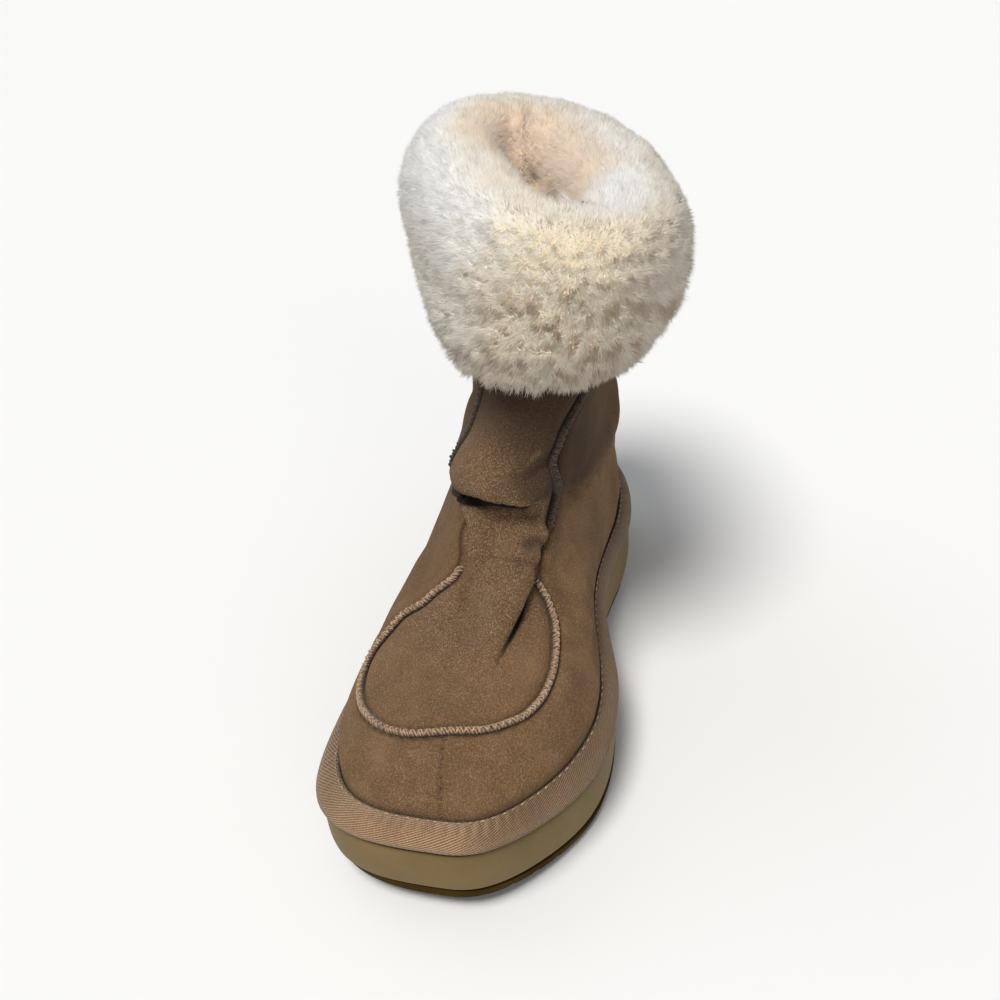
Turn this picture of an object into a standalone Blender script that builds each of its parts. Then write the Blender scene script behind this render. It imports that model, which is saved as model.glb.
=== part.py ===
"""Ankle-high sheepskin boot with a turned-down wool cuff, for the right foot, women's EU 38.

Frame: +Z up, toe towards -Y, heel towards +Y, +X the inner side of the foot. The boot stands on Z = 0.
Sizes are millimetres. A place on the boot is (side, run, height): side is +X, run is measured back
from the toe tip of the midsole, height is above the floor.
"""

from collections import namedtuple

import bmesh
import bpy
import numpy as np

MM = 0.001

# Driving sizes.
SOLE_LENGTH = 262.0
MIDSOLE_HEIGHT = 20.0
OUTSOLE_HEIGHT = 5.8
LUG_DEPTH = 2.0
HEEL_LIFT = 3.0            # how much thicker the midsole is under the heel than under the ball
HEEL_LIFT_FROM = 70.0
HEEL_LIFT_TO = 220.0
GROOVE_PITCH = 7.5
GROOVE_WIDTH = 2.4
FIRST_GROOVE = 16.0
LAST_GROOVE = 252.0
TOE_SPRING = 8.0
ARCH_RISE = 3.0
TOE_SWING = 2.5            # how far the toe turns towards the inner side
LITTLE_TOE_FULLER = 0.18   # share by which the toe is widened at the little-toe corner
BIG_TOE_CUT = 0.29         # share by which it is cut away at the big-toe corner
BINDING_HEIGHT = 10.2
BINDING_BULGE = 1.4        # how far the tape stands out past the midsole
WALL = 2.4                 # suede and its skin backing
INSOLE_HEIGHT = 6.0
SEAM_WIDTH = 3.8
GAP = 0.35                 # between curved pieces
FACET_GAP = 0.85           # between curved pieces whose facets don't line up

# The model's origin, under the middle of the whole boot with its leaning cuff.
RUN_AT_ORIGIN = 133.45
SIDE_AT_ORIGIN = 11.17

HALF_STATIONS = 24         # steps from toe to heel along each side of every ring
UPPER_STEPS = 24           # steps from the sole to the collar

# Half widths of the sole before its ends are rounded; run is a share of its length.
SolePlan = namedtuple("SolePlan", "run outer inner")
SOLE_PLAN = [
    SolePlan(0.00, 57.0 * (1.0 + LITTLE_TOE_FULLER), 52.5 * (1.0 - BIG_TOE_CUT)),
    SolePlan(0.20, 56.8, 52.6),
    SolePlan(0.35, 51.0, 50.5),
    SolePlan(0.55, 40.5, 37.0),
    SolePlan(0.82, 42.0, 42.0),
    SolePlan(1.00, 41.0, 41.0),
]
SOLE_SQUARENESS = 3.0

# Sections of the two soles' edges, from the bottom up; toe_inset adds to inset at the toe, inner_flare
# takes from it on the inner side in front, and share is the part of the layer's thickness below.
SoleEdge = namedtuple("SoleEdge", "inset toe_inset inner_flare share")
OUTSOLE_EDGE = [
    SoleEdge(2.8, 1.5, 1.6, 0.0),
    SoleEdge(2.2, 1.5, 1.6, LUG_DEPTH / OUTSOLE_HEIGHT),
    SoleEdge(1.8, 1.5, 1.6, 1.0 - GAP / OUTSOLE_HEIGHT),
]
MIDSOLE_EDGE = [
    SoleEdge(1.5, 1.5, 0.6, 0.0),
    SoleEdge(0.7, 0.8, 0.3, 0.10),
    SoleEdge(0.0, 0.3, 0.0, 0.40),
    SoleEdge(0.0, 0.0, 0.0, 0.82),
    SoleEdge(0.8, 0.0, 0.0, 1.0),
]

# Section of the rolled tape: reach is the share of the way from the upper to the tape's outer edge,
# rise the share of its height.
TapePoint = namedtuple("TapePoint", "reach rise")
BINDING_SECTION = [
    TapePoint(0.00, 0.00),
    TapePoint(0.70, 0.00),
    TapePoint(0.93, 0.14),
    TapePoint(1.00, 0.34),
    TapePoint(0.86, 0.60),
    TapePoint(0.52, 0.86),
    TapePoint(0.16, 1.00),
    TapePoint(0.00, 0.96),
    TapePoint(0.00, 0.50),
]

# Section of the insole's edge: level is the ring of the upper that it follows, clear is the space to
# the wall and rise the height above that ring.
InsolePoint = namedtuple("InsolePoint", "level clear rise")
INSOLE_SECTION = [
    InsolePoint(0.00, 1.25, 0.0),
    InsolePoint(0.00, 0.85, 0.2 * INSOLE_HEIGHT),
    InsolePoint(0.55, 1.10, -0.1 * INSOLE_HEIGHT),
    InsolePoint(0.55, 3.00, 0.0),
]

# Height of the tread's underside above the floor; zero under the ball and under the heel.
TreadLine = namedtuple("TreadLine", "run height")
TREAD_LINE = [
    TreadLine(0.0, TOE_SPRING),
    TreadLine(20.0, 3.6),
    TreadLine(42.0, 0.5),
    TreadLine(58.0, 0.0),
    TreadLine(112.0, 0.0),
    TreadLine(130.0, ARCH_RISE * 0.6),
    TreadLine(152.0, ARCH_RISE),
    TreadLine(176.0, ARCH_RISE * 0.6),
    TreadLine(194.0, 0.0),
    TreadLine(250.0, 0.0),
    TreadLine(262.0, 1.5),
]

# Where along a ring its half widths are given, as shares of its length: toe, ball, waist, heel, back.
WIDTH_STATIONS = (0.00, 0.22, 0.54, 0.84, 1.00)

# Rings of the upper from the sole to the collar: where each crosses the centre line in front and at
# the back, its half widths at the heel, waist and ball, outer and inner side, and how far the slack
# shaft leans to the inner side, is twisted about its own middle (degrees) and drops to the inner side.
Ring = namedtuple("Ring", "front_run front_height back_run back_height heel waist_outer waist_inner "
                  "ball_outer ball_inner squareness lean twist tilt")
UPPER_RINGS = [
    Ring(5.5, 34.2, 257.0, 34.2, 37.0, 36.0, 33.0, 50.0, 47.4, 3.00, 0.0, 0, 0),      # sole edge
    Ring(8.0, 43.0, 257.0, 43.0, 37.2, 36.2, 33.4, 49.5, 46.9, 3.00, 0.0, 0, 0),      # top of the binding
    Ring(10.5, 51.0, 258.5, 50.0, 37.6, 36.6, 34.0, 49.0, 46.2, 2.90, 0.0, 0, 0),     # toe wall
    Ring(19.0, 57.5, 259.0, 55.5, 37.4, 36.2, 34.2, 45.5, 44.2, 2.75, 0.0, 0, 0),     # toe cap
    Ring(31.0, 61.0, 259.0, 60.0, 37.0, 35.6, 34.0, 41.0, 40.0, 2.60, 0.0, 0, 0),     # front of the plug
    Ring(50.0, 64.5, 258.5, 64.5, 36.4, 34.8, 33.6, 36.5, 36.0, 2.50, 0.0, 0, 0),     # vamp
    Ring(69.0, 69.5, 257.5, 69.0, 35.6, 33.8, 33.0, 33.2, 32.7, 2.45, 0.5, 0, 0),     # lower instep
    Ring(85.0, 78.5, 256.0, 76.0, 34.8, 32.8, 32.4, 30.5, 30.0, 2.40, 1.5, 0, 0),     # instep
    Ring(96.0, 90.0, 254.0, 86.0, 34.2, 31.6, 32.2, 28.2, 29.0, 2.40, 2.5, 1, 0),     # fold below the ankle
    Ring(106.5, 102.5, 251.0, 99.0, 33.6, 30.4, 31.6, 26.5, 28.0, 2.40, 3.2, 3, 0),   # ankle crease
    Ring(103.0, 112.5, 249.5, 110.0, 33.0, 30.4, 31.2, 27.6, 28.6, 2.45, 4.0, 5, 0),  # bulge above it
    Ring(110.0, 130.0, 248.0, 130.0, 32.4, 28.0, 31.0, 25.0, 28.0, 2.50, 5.2, 8, 1),  # lower shaft
    Ring(115.0, 155.0, 247.0, 155.0, 32.0, 27.5, 31.0, 25.5, 29.0, 2.50, 8.0, 14, 2),  # hem of the cuff
    Ring(119.0, 182.0, 246.0, 182.0, 32.0, 29.5, 32.0, 28.0, 30.0, 2.50, 11.5, 20, 4),  # inside the cuff
    Ring(121.0, 209.0, 245.0, 209.0, 32.0, 32.5, 32.5, 31.0, 31.0, 2.50, 14.0, 25, 5),  # collar
]

# The cuff's section: out is measured from the shaft's outer face, drop is down from the collar.
CuffPoint = namedtuple("CuffPoint", "part out drop")
CUFF_SECTION = [
    CuffPoint("lip", -3.9, 34.0),
    CuffPoint("lip", -10.0, 38.0),
    CuffPoint("pile", -15.5, 26.0),
    CuffPoint("pile", -16.5, 10.0),
    CuffPoint("pile", -12.5, -3.0),
    CuffPoint("pile", -3.0, -8.5),
    CuffPoint("pile", 8.0, -7.5),
    CuffPoint("pile", 16.5, -0.5),
    CuffPoint("pile", 21.0, 12.0),
    CuffPoint("pile", 22.5, 27.0),
    CuffPoint("pile", 22.0, 41.0),
    CuffPoint("hem", 17.5, 52.0),
    CuffPoint("hem", 10.0, 54.0),
    CuffPoint("back", 4.0, 40.0),
    CuffPoint("back", 1.0, 4.0),
    CuffPoint("back", 0.8, -1.0),
    CuffPoint("back", -3.5, -1.0),
]
CUFF_DROP = max(point.drop for point in CUFF_SECTION)
CUFF_MIDDLE = 8.0          # the roll's middle lies this far inside the shaft's outer face
HEM_LIFT = 9.0             # how much higher the hem hangs on the outer side
LOCK_HEIGHT = 2.2          # relief of the wool's locks
LOCK_SEED = 11

# Route of the whipped seam on the upper, down both edges of the front panel and round the plug. level
# counts rings from the sole, turn is the share of the way from the centre line in front to the back.
SeamPoint = namedtuple("SeamPoint", "outer_level outer_turn inner_level inner_turn")
SEAM_ROUTE = [
    SeamPoint(12.2, 0.170, 12.2, 0.160),   # under the cuff
    SeamPoint(10.9, 0.175, 10.9, 0.115),   # lower shaft
    SeamPoint(9.80, 0.200, 9.90, 0.132),   # over the bulge
    SeamPoint(8.60, 0.110, 8.70, 0.165),   # ankle
    SeamPoint(7.50, 0.060, 7.20, 0.118),   # throat of the plug
    SeamPoint(6.30, 0.130, 6.20, 0.165),   # shoulders
    SeamPoint(4.90, 0.220, 5.30, 0.200),
    SeamPoint(3.50, 0.265, 4.45, 0.198),   # widest
    SeamPoint(2.85, 0.250, 4.00, 0.170),
    SeamPoint(2.95, 0.190, 3.90, 0.125),
    SeamPoint(3.40, 0.115, 4.05, 0.075),
    SeamPoint(4.05, 0.000, 4.05, 0.000),   # front of the plug
]
SEAM_STEP = 5.0            # spacing of the bead's sections
SEAM_SAMPLES = 400         # points at which the route is measured before it is spaced out

Finish = namedtuple("Finish", "name colour roughness")
RUBBER = Finish("olive rubber", (0.085, 0.060, 0.012), 0.65)
FOAM = Finish("khaki foam", (0.200, 0.150, 0.070), 0.70)
TAPE = Finish("tan twill", (0.300, 0.180, 0.095), 0.85)
SUEDE = Finish("chestnut suede", (0.200, 0.110, 0.060), 0.95)
WOOL = Finish("cream wool", (0.720, 0.640, 0.500), 1.00)
FLEECE = Finish("insole fleece", (0.600, 0.520, 0.400), 1.00)
THREAD = Finish("tan thread", (0.260, 0.160, 0.090), 0.90)


def hermite(places, values, at):
    """A smooth curve through the values, with each slope taken from the two neighbours."""
    places = np.asarray(places, float)
    values = np.asarray(values, float)
    slopes = np.gradient(values, places, axis=0)
    at = np.clip(np.asarray(at, float), places[0], places[-1])
    low = np.clip(np.searchsorted(places, at, side="right") - 1, 0, len(places) - 2)
    span = places[low + 1] - places[low]
    share = (at - places[low]) / span
    weights = (2 * share**3 - 3 * share**2 + 1, share**3 - 2 * share**2 + share,
               3 * share**2 - 2 * share**3, share**3 - share**2)
    if values.ndim > 1:
        weights = [weight[..., None] for weight in weights]
        span = span[..., None]
    return (weights[0] * values[low] + weights[1] * span * slopes[low]
            + weights[2] * values[low + 1] + weights[3] * span * slopes[low + 1])


def rounding(share, squareness):
    """Width factor of an outline whose ends are rounded as a superellipse: 0 at both ends, 1 between."""
    return np.maximum(1.0 - np.abs(1.0 - 2.0 * share)**squareness, 0.0)**(1.0 / squareness)


def even_stations():
    """Shares of the length at which the sole's mean outline is cut into steps of equal length."""
    share = (1.0 - np.cos(np.linspace(0.0, np.pi, 2001))) / 2.0
    plan = np.array(SOLE_PLAN)
    width = hermite(plan[:, 0], plan[:, 1:].mean(axis=1), share) * rounding(share, SOLE_SQUARENESS)
    steps = np.hypot(np.diff(width), np.diff(share * SOLE_LENGTH))
    travel = np.concatenate([[0.0], np.cumsum(steps)])
    return np.interp(np.linspace(0.0, travel[-1], HALF_STATIONS + 1), travel, share)


STATIONS = even_stations()


def closed_ring(run, outer, inner, height):
    """One ring of points: toe, down the inner side to the heel, and back up the outer side."""
    shift = TOE_SWING * np.maximum(1.0 - run / SOLE_LENGTH, 0.0)**2
    side = np.concatenate([(inner + shift), (shift - outer)[-2:0:-1]])
    return np.stack([side, np.concatenate([run, run[-2:0:-1]]),
                     np.concatenate([height, height[-2:0:-1]])], axis=1)


def tread_height(run):
    table = np.array(TREAD_LINE)
    return np.interp(run, table[:, 0], table[:, 1])


def midsole_bottom(run):
    return tread_height(run) + OUTSOLE_HEIGHT


def midsole_top(run):
    lift = np.clip((run - HEEL_LIFT_FROM) / (HEEL_LIFT_TO - HEEL_LIFT_FROM), 0.0, 1.0)
    return midsole_bottom(run) + MIDSOLE_HEIGHT + HEEL_LIFT * lift


def sole_ring(inset, toe_inset, height, inner_flare=0.0):
    """The sole's outline drawn in by inset, and by toe_inset more at the toe, at height(run)."""
    front = inset + toe_inset
    run = front + (SOLE_LENGTH - front - inset) * STATIONS
    plan = np.array(SOLE_PLAN)
    widths = hermite(plan[:, 0], plan[:, 1:], STATIONS) * rounding(STATIONS, SOLE_SQUARENESS)[:, None]
    flare = inner_flare * np.clip(1.4 - 2.0 * STATIONS, 0.0, 1.0)
    drawn_in = np.stack([inset + 0.0 * flare, inset - flare], axis=1)
    narrowed = np.clip(1.0 - drawn_in / np.maximum(widths, 1.0), 0.0, None) * widths
    return closed_ring(run, narrowed[:, 0], narrowed[:, 1], height(run))


def sole_layer(edge, bottom, top):
    """Rings of a sole layer between the heights bottom(run) and top(run)."""
    def height_at(share):
        return lambda run: bottom(run) + share * (top(run) - bottom(run))
    return [sole_ring(row.inset, row.toe_inset, height_at(row.share), row.inner_flare) for row in edge]


def upper_ring(level):
    """Ring of the upper's outer face at a level, counted in rows of the table."""
    row = Ring(*hermite(np.arange(len(UPPER_RINGS)), np.array(UPPER_RINGS), level))
    run = row.front_run + (row.back_run - row.front_run) * STATIONS
    straight = row.front_height + (row.back_height - row.front_height) * STATIONS
    follow = np.clip(1.0 - level / 5.0, 0.0, 1.0)
    base = UPPER_RINGS[0].front_height
    height = straight + follow * (midsole_top(run) + FACET_GAP - base)
    end = rounding(STATIONS, row.squareness)
    outer_toe = row.ball_outer * (1.0 + LITTLE_TOE_FULLER * follow)
    inner_toe = row.ball_inner * (1.0 - BIG_TOE_CUT * follow)
    outer_widths = [outer_toe, row.ball_outer, row.waist_outer, row.heel, row.heel]
    inner_widths = [inner_toe, row.ball_inner, row.waist_inner, row.heel, row.heel]
    outer = end * hermite(WIDTH_STATIONS, outer_widths, STATIONS)
    inner = end * hermite(WIDTH_STATIONS, inner_widths, STATIONS)
    ring = closed_ring(run, outer, inner, height)
    middle = np.array([0.0, (row.front_run + row.back_run) / 2.0])
    turn = np.radians(row.twist)
    side, along = (ring[:, :2] - middle).T
    ring[:, 0] = side * np.cos(turn) - along * np.sin(turn) + row.lean
    ring[:, 1] = side * np.sin(turn) + along * np.cos(turn) + middle[1]
    ring[:, 2] -= row.tilt * (ring[:, 0] - row.lean) / row.waist_inner
    return ring


def upper_rings():
    levels = np.linspace(0.0, len(UPPER_RINGS) - 1.0, UPPER_STEPS + 1)
    return [upper_ring(level) for level in levels]


def plan_normals(ring):
    """Horizontal unit vectors pointing out of a ring, one at each of its points."""
    along = np.roll(ring, -1, axis=0) - np.roll(ring, 1, axis=0)
    out = np.stack([along[:, 1], -along[:, 0], np.zeros(len(ring))], axis=1)
    return out / np.linalg.norm(out, axis=1)[:, None]


def grow(ring, out, up=0.0):
    """The ring moved out along its plan normals and up."""
    grown = ring + plan_normals(ring) * np.reshape(out, (-1, 1))
    grown[:, 2] += up
    return grown


def to_metres(points):
    """From (side, run, height) in millimetres to the model's X, Y, Z in metres."""
    return (np.asarray(points) - [SIDE_AT_ORIGIN, RUN_AT_ORIGIN, 0.0]) * MM


def make_material(finish):
    material = bpy.data.materials.new(finish.name)
    material.use_nodes = True
    shader = material.node_tree.nodes["Principled BSDF"]
    shader.inputs["Base Color"].default_value = (*finish.colour, 1.0)
    shader.inputs["Roughness"].default_value = finish.roughness
    material.diffuse_color = (*finish.colour, 1.0)
    return material


def add_object(name, mesh, finish, collection):
    mesh.materials.append(make_material(finish))
    mesh.shade_smooth()
    mesh.set_sharp_from_angle(angle=np.radians(40.0))
    piece = bpy.data.objects.new(name, mesh)
    collection.objects.link(piece)
    return piece


def loft(name, rings, closed=False, caps=False):
    """A mesh through rings of equal count. closed joins the last ring to the first; caps closes both
    ends with strips that run straight across, so that a curved sole stays smooth."""
    rings = [to_metres(ring) for ring in rings]
    count = len(rings[0])
    mesh = bpy.data.meshes.new(name)
    model = bmesh.new()
    rows = [[model.verts.new(point) for point in ring] for ring in rings]
    pairs = list(zip(rows, rows[1:])) + ([(rows[-1], rows[0])] if closed else [])
    for low, high in pairs:
        for here in range(count):
            after = (here + 1) % count
            model.faces.new((low[here], low[after], high[after], high[here]))
    if caps:
        for row in (rows[0], rows[-1]):
            for step in range(count // 2):
                corners = [row[step], row[step + 1], row[-step - 1], row[-step % count]]
                model.faces.new(list(dict.fromkeys(corners)))
    bmesh.ops.recalc_face_normals(model, faces=model.faces)
    model.to_mesh(mesh)
    model.free()
    return mesh


def make_outsole(parts, cutters):
    """Cross grooves in the tread leave a row of lugs."""
    rings = sole_layer(OUTSOLE_EDGE, tread_height, midsole_bottom)
    outsole = add_object("outsole", loft("outsole", rings, caps=True), RUBBER, parts)
    grooves = bmesh.new()
    length, depth = 130.0, 12.0
    for run in np.arange(FIRST_GROOVE, LAST_GROOVE, GROOVE_PITCH):
        cube = bmesh.ops.create_cube(grooves, size=1.0)
        bmesh.ops.scale(grooves, vec=(length * MM, GROOVE_WIDTH * MM, depth * MM), verts=cube["verts"])
        height = tread_height(run) + LUG_DEPTH - depth / 2.0
        bmesh.ops.translate(grooves, vec=to_metres([0.0, run, height]), verts=cube["verts"])
    mesh = bpy.data.meshes.new("tread_grooves")
    grooves.to_mesh(mesh)
    grooves.free()
    cut(outsole, add_cutter("tread_grooves", mesh, cutters))


def add_cutter(name, mesh, cutters):
    cutter = bpy.data.objects.new(name, mesh)
    cutters.objects.link(cutter)
    cutter.hide_render = True
    cutter.display_type = "WIRE"
    return cutter


def cut(piece, cutter):
    modifier = piece.modifiers.new("cut " + cutter.name, "BOOLEAN")
    modifier.operation = "DIFFERENCE"
    modifier.solver = "EXACT"
    modifier.object = cutter


def make_midsole(parts):
    rings = sole_layer(MIDSOLE_EDGE, midsole_bottom, midsole_top)
    add_object("midsole", loft("midsole", rings, caps=True), FOAM, parts)


def make_insole(parts):
    rings = [grow(upper_ring(row.level), -WALL - row.clear, row.rise) for row in INSOLE_SECTION]
    add_object("insole", loft("insole", rings, caps=True), FLEECE, parts)


def make_binding(parts):
    """A rolled tape: its inner face follows the upper, its outer face bulges past the midsole."""
    rings = []
    edge = sole_ring(-BINDING_BULGE, 0.0, midsole_top)
    for point in BINDING_SECTION:
        ring = grow(upper_ring(point.rise), FACET_GAP)
        ring[:, :2] += point.reach * (edge[:, :2] - ring[:, :2])
        ring[:, 2] = midsole_top(ring[:, 1]) + FACET_GAP + point.rise * BINDING_HEIGHT
        rings.append(ring)
    add_object("binding", loft("binding", rings, closed=True), TAPE, parts)


def make_upper(parts):
    upper = add_object("upper", loft("upper", upper_rings()), SUEDE, parts)
    wall = upper.modifiers.new("wall", "SOLIDIFY")
    wall.thickness = WALL * MM
    wall.offset = -1.0


def make_cuff(parts):
    """The wool cuff hangs over the collar: its section is carried round the shaft, and locks of wool
    one side of a ring long stand out of it, with each row's locks between those of the row above."""
    chance = np.random.default_rng(LOCK_SEED)
    collar_height = UPPER_RINGS[-1].front_height
    heights = np.array([ring.front_height for ring in UPPER_RINGS])
    rings = []
    for number, point in enumerate(CUFF_SECTION):
        below = max(point.drop, 0.0)
        level = np.interp(collar_height - below, heights, np.arange(len(heights)))
        ring = refine(upper_ring(level))
        out = np.full(len(ring), point.out)
        up = np.full(len(ring), collar_height - point.drop - ring[:, 2].mean())
        if point.out > 0.0:
            side = ring[:, 0]
            outward = np.clip((side.mean() - side) / np.ptp(side) * 2.0, 0.0, 1.0)
            up += HEM_LIFT * outward * below / CUFF_DROP
        if point.part in ("pile", "hem"):
            lock = np.cos(np.arange(len(ring)) * np.pi / 2 + (number % 2) * np.pi) / 2.0
            away = np.sign(point.out + CUFF_MIDDLE)
            out += away * LOCK_HEIGHT * (lock + chance.uniform(-0.5, 0.5, len(ring)))
        if point.part == "hem":
            up += LOCK_HEIGHT * chance.uniform(-1.0, 1.0, len(ring))
        rings.append(grow(ring, out, up))
    add_object("fleece_cuff", loft("fleece_cuff", rings, closed=True), WOOL, parts)


def refine(ring):
    """The ring with a point added in the middle of each side."""
    middle = (ring + np.roll(ring, -1, axis=0)) / 2.0
    return np.stack([ring, middle], axis=1).reshape(-1, 3)


def ring_point(level, turn, inner):
    """Point on the upper at a share of the way round its side, from the front to the back."""
    ring = upper_ring(level)
    half = ring[:HALF_STATIONS + 1] if inner else np.roll(ring[::-1], 1, axis=0)[:HALF_STATIONS + 1]
    travel = np.concatenate([[0.0], np.cumsum(np.linalg.norm(np.diff(half, axis=0), axis=1))])
    return np.array([np.interp(turn * travel[-1], travel, half[:, axis]) for axis in range(3)])


def seam_path():
    """Evenly spaced points along the whipped seam, from one side of the cuff to the other."""
    outer = [(row.outer_level, -row.outer_turn) for row in SEAM_ROUTE]
    inner = [(row.inner_level, row.inner_turn) for row in SEAM_ROUTE[-2::-1]]
    levels, turns = np.array(outer + inner).T
    steps = np.arange(len(levels), dtype=float)
    fine = np.linspace(0.0, steps[-1], SEAM_SAMPLES)
    fine_levels = hermite(steps, levels, fine)
    fine_turns = hermite(steps, turns, fine)
    places = zip(fine_levels, fine_turns)
    points = np.array([ring_point(level, abs(turn), turn > 0) for level, turn in places])
    travel = np.concatenate([[0.0], np.cumsum(np.linalg.norm(np.diff(points, axis=0), axis=1))])
    even = np.linspace(0.0, travel[-1], int(travel[-1] / SEAM_STEP) + 1)
    return np.stack([np.interp(even, travel, points[:, axis]) for axis in range(3)], axis=1)


def make_whip_seam(parts, cutters):
    """A round cord laid half into the upper, with what lies inside the upper's face cut away."""
    path = to_metres(seam_path())
    curve = bpy.data.curves.new("whip_seam", "CURVE")
    curve.dimensions = "3D"
    curve.bevel_depth = SEAM_WIDTH / 2.0 * MM
    curve.bevel_resolution = 1
    curve.use_fill_caps = True
    spline = curve.splines.new("POLY")
    spline.points.add(len(path) - 1)
    spline.points.foreach_set("co", np.column_stack([path, np.ones(len(path))]).ravel())
    cord = bpy.data.objects.new("cord", curve)
    parts.objects.link(cord)
    bpy.context.view_layer.update()
    mesh = bpy.data.meshes.new_from_object(cord.evaluated_get(bpy.context.evaluated_depsgraph_get()))
    bpy.data.objects.remove(cord)
    bpy.data.curves.remove(curve)
    model = bmesh.new()
    model.from_mesh(mesh)
    bmesh.ops.remove_doubles(model, verts=model.verts, dist=1e-6)
    bmesh.ops.recalc_face_normals(model, faces=model.faces)
    model.to_mesh(mesh)
    model.free()
    seam = add_object("whip_seam", mesh, THREAD, parts)

    filled = loft("upper_filled", upper_rings(), caps=True)
    model = bmesh.new()
    model.from_mesh(filled)
    model.normal_update()
    for vert in model.verts:
        vert.co += vert.normal * GAP * MM
    model.to_mesh(filled)
    model.free()
    cut(seam, add_cutter("upper_filled", filled, cutters))


def main():
    for old in list(bpy.data.objects):
        bpy.data.objects.remove(old, do_unlink=True)
    parts = bpy.data.collections.new("sheepskin boot")
    cutters = bpy.data.collections.new("cutters")
    for collection in (parts, cutters):
        bpy.context.scene.collection.children.link(collection)
    make_outsole(parts, cutters)
    make_midsole(parts)
    make_insole(parts)
    make_binding(parts)
    make_upper(parts)
    make_cuff(parts)
    make_whip_seam(parts, cutters)


main()
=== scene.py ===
import bmesh
import bpy
import numpy as np
from mathutils import Euler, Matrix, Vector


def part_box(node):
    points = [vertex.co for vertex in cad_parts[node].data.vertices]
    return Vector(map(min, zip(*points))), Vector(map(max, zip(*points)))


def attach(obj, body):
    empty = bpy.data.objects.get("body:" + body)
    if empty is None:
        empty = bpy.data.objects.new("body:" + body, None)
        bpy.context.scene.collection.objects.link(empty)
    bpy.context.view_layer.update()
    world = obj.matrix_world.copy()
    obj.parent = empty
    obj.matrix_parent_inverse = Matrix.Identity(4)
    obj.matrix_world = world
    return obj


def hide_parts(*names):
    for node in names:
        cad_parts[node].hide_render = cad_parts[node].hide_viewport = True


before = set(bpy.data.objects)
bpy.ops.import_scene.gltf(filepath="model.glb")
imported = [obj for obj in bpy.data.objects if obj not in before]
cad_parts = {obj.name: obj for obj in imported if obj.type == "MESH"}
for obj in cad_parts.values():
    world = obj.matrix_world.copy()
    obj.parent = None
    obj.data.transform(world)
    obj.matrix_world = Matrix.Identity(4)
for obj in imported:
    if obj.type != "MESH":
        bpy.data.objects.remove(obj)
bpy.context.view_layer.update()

mm = 0.001

# Shoe coordinates are millimetres: side is + towards the inner side of the foot, run goes back from
# the toe tip of the midsole, and height is above the floor.
midsoleLow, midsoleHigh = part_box("midsole")
soleLength = (midsoleHigh[1] - midsoleLow[1]) / mm
shoeOrigin = np.array([(midsoleLow[0] + midsoleHigh[0]) / 2, midsoleLow[1], 0.0]) / mm
print("frame loaded, sole length", round(soleLength, 1))


# A smooth curve through the values; each slope is taken from the two neighbours.
def smoothCurve(places, values, at):
    places = np.asarray(places, float)
    values = np.asarray(values, float)
    slopes = np.gradient(values, places, axis=0)
    at = np.clip(np.asarray(at, float), places[0], places[-1])
    low = np.clip(np.searchsorted(places, at, side="right") - 1, 0, len(places) - 2)
    span = places[low + 1] - places[low]
    share = (at - places[low]) / span
    a = 2 * share**3 - 3 * share**2 + 1
    b = share**3 - 2 * share**2 + share
    c = 3 * share**2 - 2 * share**3
    d = share**3 - share**2
    if values.ndim > 1:
        a, b, c, d, span = [part[..., None] for part in (a, b, c, d, span)]
    return a * values[low] + b * span * slopes[low] + c * values[low + 1] + d * span * slopes[low + 1]


# Goes from 0 at start to 1 at end along an S, and is held there.
def ramp(value, start, end):
    share = np.clip((value - start) / (end - start), 0.0, 1.0)
    return share * share * (3.0 - 2.0 * share)


# The same, to strength at end.
def graded(value, strength, start, end):
    return strength * ramp(value, start, end)


# Vectors at length 1.
def unit(vectors):
    return vectors / np.maximum(np.linalg.norm(vectors, axis=-1, keepdims=True), 1e-9)


# 1 at zero, falling smoothly to nothing a few widths away.
def bell(value, width):
    return np.exp(-(value / width)**2)


# Rises from 0 to 1 between start and full, and falls back to 0 between leave and end.
def plateau(value, start, full, leave, end):
    return ramp(value, start, full) * ramp(value, end, leave)


# Distance along a path up to each of its points.
def travelled(path):
    return np.concatenate([[0.0], np.cumsum(np.linalg.norm(np.diff(path, axis=0), axis=-1))])


# The rows of a table taken as points of a smooth curve, read at count even steps.
def alongTable(table, count):
    return smoothCurve(np.arange(len(table)), table, np.linspace(0, len(table) - 1, count))


# Millimetres on the shoe to metres in the frame.
def toWorld(points):
    return (np.asarray(points).reshape(-1, 3) + shoeOrigin) * mm


# Soft noise from -1 to 1: random values on a repeating lattice, blended between its points. size is
# the distance between lattice points in millimetres.
def cloud(points, size, seed):
    lattice = np.random.default_rng(seed).uniform(-1.0, 1.0, (24, 24, 24))
    place = points / size + 7.3
    cell = np.floor(place).astype(int)
    share = place - cell
    share = share * share * (3.0 - 2.0 * share)
    total = np.zeros(points.shape[:-1])
    for corner in np.ndindex(2, 2, 2):
        index = (cell + corner) % 24
        weight = np.prod(np.where(corner, share, 1.0 - share), axis=-1)
        total += weight * lattice[index[..., 0], index[..., 1], index[..., 2]]
    return total


# Normals of a grid of points (rows, columns, 3) whose columns run round a closed ring.
def gridNormals(points):
    down = np.gradient(points, axis=0)
    across = np.roll(points, -1, axis=1) - np.roll(points, 1, axis=1)
    return unit(np.cross(across, down))


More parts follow.
